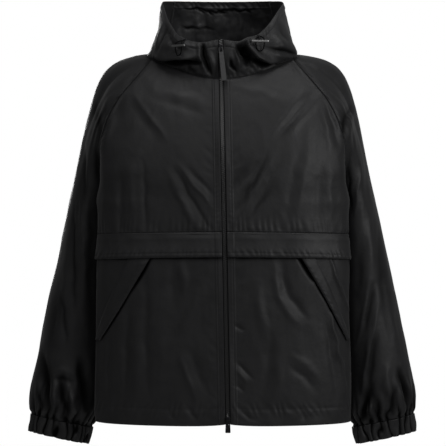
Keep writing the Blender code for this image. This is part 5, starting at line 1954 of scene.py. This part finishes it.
@dataclass
class Drawcord:
    """A loop of the hood's drawcord with its eyelet; its bar is the solid's own."""

    side: Side
    hood: Hood
    share: float
    turn: float
    loop_out: float
    up: float = 0.93
    ring: float = 4.1
    wire: float = 0.9
    radius: float = 1.2
    cloth: float = 1.2
    seam_gap: float = 0.3
    cord_sides: int = 12
    ring_steps: int = 48
    ring_sides: int = 14

    def spot(self) -> tuple[Array, Array]:
        """The eyelet's place on its hood side, and the way out of the cloth there."""
        ring, shares = self.hood.ring(self.side)
        steps = np.array((-1.0, 0.0, 1.0))
        near = self.share + 0.01 * steps
        spots = read_line(near, shares, ring)
        sheet = Surface(self.hood.points(spots, near, self.up + 0.05 * steps, self.side))
        return sheet.points[1, 1] * self.side.mirror, sheet.normals()[1, 1] * self.side.mirror

    def route(self) -> Array:
        """The cord's points in millimetres: out of the eyelet, round through the bar and back."""
        spot, out = self.spot()
        clear = self.cloth / 2 + self.seam_gap + 2 * self.wire + self.radius / 2
        half = CORD_ROUTE * np.array((1.0, -self.loop_out, 1.0))
        whole = np.concatenate([half, half[::-1] * RIGHT.mirror])
        swing = np.array(Matrix.Rotation(math.radians(self.turn), 3, "Z"))
        keys = np.arange(len(whole), dtype=float)[:, None]
        at = np.linspace(0, len(whole) - 1, 127)
        fine = spline(np.concatenate([keys, whole], axis=1), at)
        return fine @ swing.T + spot + out * clear

    def build(self, finishes: Wardrobe) -> None:
        """The cord and its eyelet."""
        self.build_cord(finishes)
        self.build_eyelet(finishes)

    def build_cord(self, finishes: Wardrobe) -> None:
        """The cord: a round tube along its route, closed at both ends."""
        path = self.route()
        way = unit(np.gradient(path, axis=0))
        middle = (path.min(axis=0) + path.max(axis=0)) / 2
        beside = unit(np.cross(way, unit(path - middle)))
        outward = np.cross(beside, way)
        swing = (np.arange(self.cord_sides) * 2 * math.pi / self.cord_sides)[None, :, None]
        round_way = np.cos(swing) * outward[:, None] + np.sin(swing) * beside[:, None]
        rings = path[:, None] + self.radius * round_way
        ends = [path[:1, None] + 0 * rings[:1], rings, path[-1:, None] + 0 * rings[-1:]]
        tube = Surface(np.concatenate(ends)[:, ::-1], closed=True)
        cord = tube.build(f"drawcord_{self.side.word}_cord", finishes.cord)
        dress(cord, f"drawcord_{self.side.word}")

    def build_eyelet(self, finishes: Wardrobe) -> None:
        """The eyelet: a ring of round wire that lies on the cloth."""
        spot, out = self.spot()
        centre = spot + out * (self.cloth / 2 + self.seam_gap + self.wire)
        aside = unit(np.cross(out, np.array((0.0, 0.0, 1.0))))
        above = np.cross(aside, out)
        turn = (np.arange(self.ring_steps) * 2 * math.pi / self.ring_steps)[None, :, None]
        roll = (np.arange(self.ring_sides) * 2 * math.pi / self.ring_sides)[:, None, None]
        radial = np.cos(turn) * aside + np.sin(turn) * above
        points = centre + radial * (self.ring + self.wire * np.cos(roll)) + out * self.wire * np.sin(roll)
        ring = Surface(points, closed=True, looped=True)
        eyelet = ring.build(f"eyelet_{self.side.word}_ring", finishes.slider)
        dress(eyelet, f"eyelet_{self.side.word}")


@dataclass(frozen=True)
class SoftBox:
    """A soft studio light: its place, what it points at, its sizes and its power."""

    name: str
    place: Triple
    target: Triple
    size: Pair
    power: float

    def build(self) -> None:
        """Add the light to the scene."""
        lamp = bpy.data.lights.new(self.name, "AREA")
        lamp.shape = "RECTANGLE"
        lamp.size, lamp.size_y = self.size
        lamp.energy = self.power
        thing = bpy.data.objects.new(self.name, lamp)
        bpy.context.scene.collection.objects.link(thing)
        way = Vector(self.target) - Vector(self.place)
        thing.location = self.place
        thing.rotation_euler = way.to_track_quat("-Z", "Y").to_euler()


@dataclass
class Studio:
    """Camera, pale floor and soft light; its sizes are in metres, and the lens's in millimetres."""

    sensor: float = 36.0
    floor_z: float = -1.45
    floor_radius: float = 1.2
    floor_sides: int = 64
    fill: float = 0.185
    lights: tuple[SoftBox, ...] = (
        SoftBox("key", place=(2.4, -2.2, 0.6), target=(0.0, 0.0, -0.3), size=(1.0, 1.4), power=51.0),
        SoftBox("front", place=(-0.4, -2.6, 1.2), target=(0.0, 0.0, -0.2), size=(2.4, 1.3), power=15.0),
        SoftBox("top", place=(0.3, -0.9, 2.2), target=(0.0, 0.0, -0.1), size=(2.2, 1.0), power=38.0),
        SoftBox("back", place=(-0.5, 2.8, 0.0), target=(0.0, 0.0, -0.3), size=(1.2, 1.2), power=40.0),
    )

    def build(self) -> None:
        """Set up the studio."""
        self.camera()
        self.floor()
        self.world()
        for light in self.lights:
            light.build()
        bpy.context.scene.view_settings.view_transform = "Standard"

    def camera(self) -> None:
        """A level camera straight in front, as far off as the picture's."""
        lens = bpy.data.cameras.new("camera")
        lens.sensor_width = self.sensor
        lens.lens = self.sensor * PICTURE.far / (2 * PICTURE.middle * PICTURE.span)
        thing = bpy.data.objects.new("camera", lens)
        thing.location = (PICTURE.centre_x * MM, -PICTURE.far * MM, PICTURE.centre_z * MM)
        thing.rotation_euler = (math.pi / 2, 0.0, 0.0)
        bpy.context.scene.collection.objects.link(thing)
        bpy.context.scene.camera = thing

    def floor(self) -> None:
        """A round pale floor where a wearer would stand: rings about its middle."""
        swing = np.arange(self.floor_sides) * 2 * math.pi / self.floor_sides
        radius = np.linspace(0.0002, self.floor_radius, 8)[:, None]
        level = self.floor_z + 0 * radius * swing
        points = np.stack([radius * np.cos(swing), radius * np.sin(swing), level], axis=-1) / MM
        Surface(points[:, ::-1], closed=True).build("floor", PALE_FLOOR.material())

    def world(self) -> None:
        """White behind the jacket, and a dim even light from all round."""
        world = bpy.data.worlds.new("studio")
        world.use_nodes = True
        tree = world.node_tree
        dim = tree.nodes["Background"]
        dim.inputs["Color"].default_value = (self.fill, self.fill, self.fill, 1.0)
        white = tree.nodes.new("ShaderNodeBackground")
        white.inputs["Color"].default_value = (1.0, 1.0, 1.0, 1.0)
        rays = tree.nodes.new("ShaderNodeLightPath")
        mix = tree.nodes.new("ShaderNodeMixShader")
        tree.links.new(rays.outputs["Is Camera Ray"], mix.inputs["Fac"])
        tree.links.new(dim.outputs["Background"], mix.inputs[1])
        tree.links.new(white.outputs["Background"], mix.inputs[2])
        tree.links.new(mix.outputs["Shader"], tree.nodes["World Output"].inputs["Surface"])
        bpy.context.scene.world = world


def finish_solids(finishes: Wardrobe) -> None:
    """Give the solids that stay their finishes."""
    kept = {
        "zip_slider_top": finishes.slider, "zip_slider_bottom": finishes.slider,
        "zip_pull_top": finishes.pull, "zip_pull_bottom": finishes.slider,
        "cord_bar_left": finishes.bar, "cord_bar_right": finishes.bar,
    }
    for node, material in kept.items():
        for place in bpy.data.objects[node].material_slots:
            place.material = material
        LOG.info("finished %s", node)


def main() -> None:
    """Build the studio, then the jacket piece by piece."""
    logging.basicConfig(level=logging.INFO, format="%(name)s: %(message)s")
    Studio().build()
    finishes, thread, zipper = Wardrobe(), Thread(), Zip()
    torso = Torso(finishes, thread, zipper)
    sleeves = {side: Sleeve(side, torso) for side in Side}
    hood = Hood(torso, sleeves[LEFT])
    Drawcord(LEFT, hood, share=0.302, turn=4.0, loop_out=17.2).build(finishes)
    Drawcord(RIGHT, hood, share=0.230, turn=-42.0, loop_out=15.5).build(finishes)
    edges = {}
    for side in Side:
        lower, upper, rim = torso.build_lower(side), torso.build_upper(side), hood.build_side(side)
        points = np.concatenate([lower.points[:-1], upper.points[:-1], rim.points])
        normals = np.concatenate([lower.normals[:-1], upper.normals[:-1], rim.normals])
        edges[side] = Line(points, normals)
        torso.build_flap(side)
        torso.build_pocket(side)
        sleeves[side].build()
        sleeves[side].build_cuff()
    torso.build_back()
    hood.build_centre()
    zipper.build(edges, finishes)
    stitches = thread.build(finishes.thread)
    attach(stitches, "jacket")
    finish_solids(finishes)


if __name__ == "__main__":
    main()
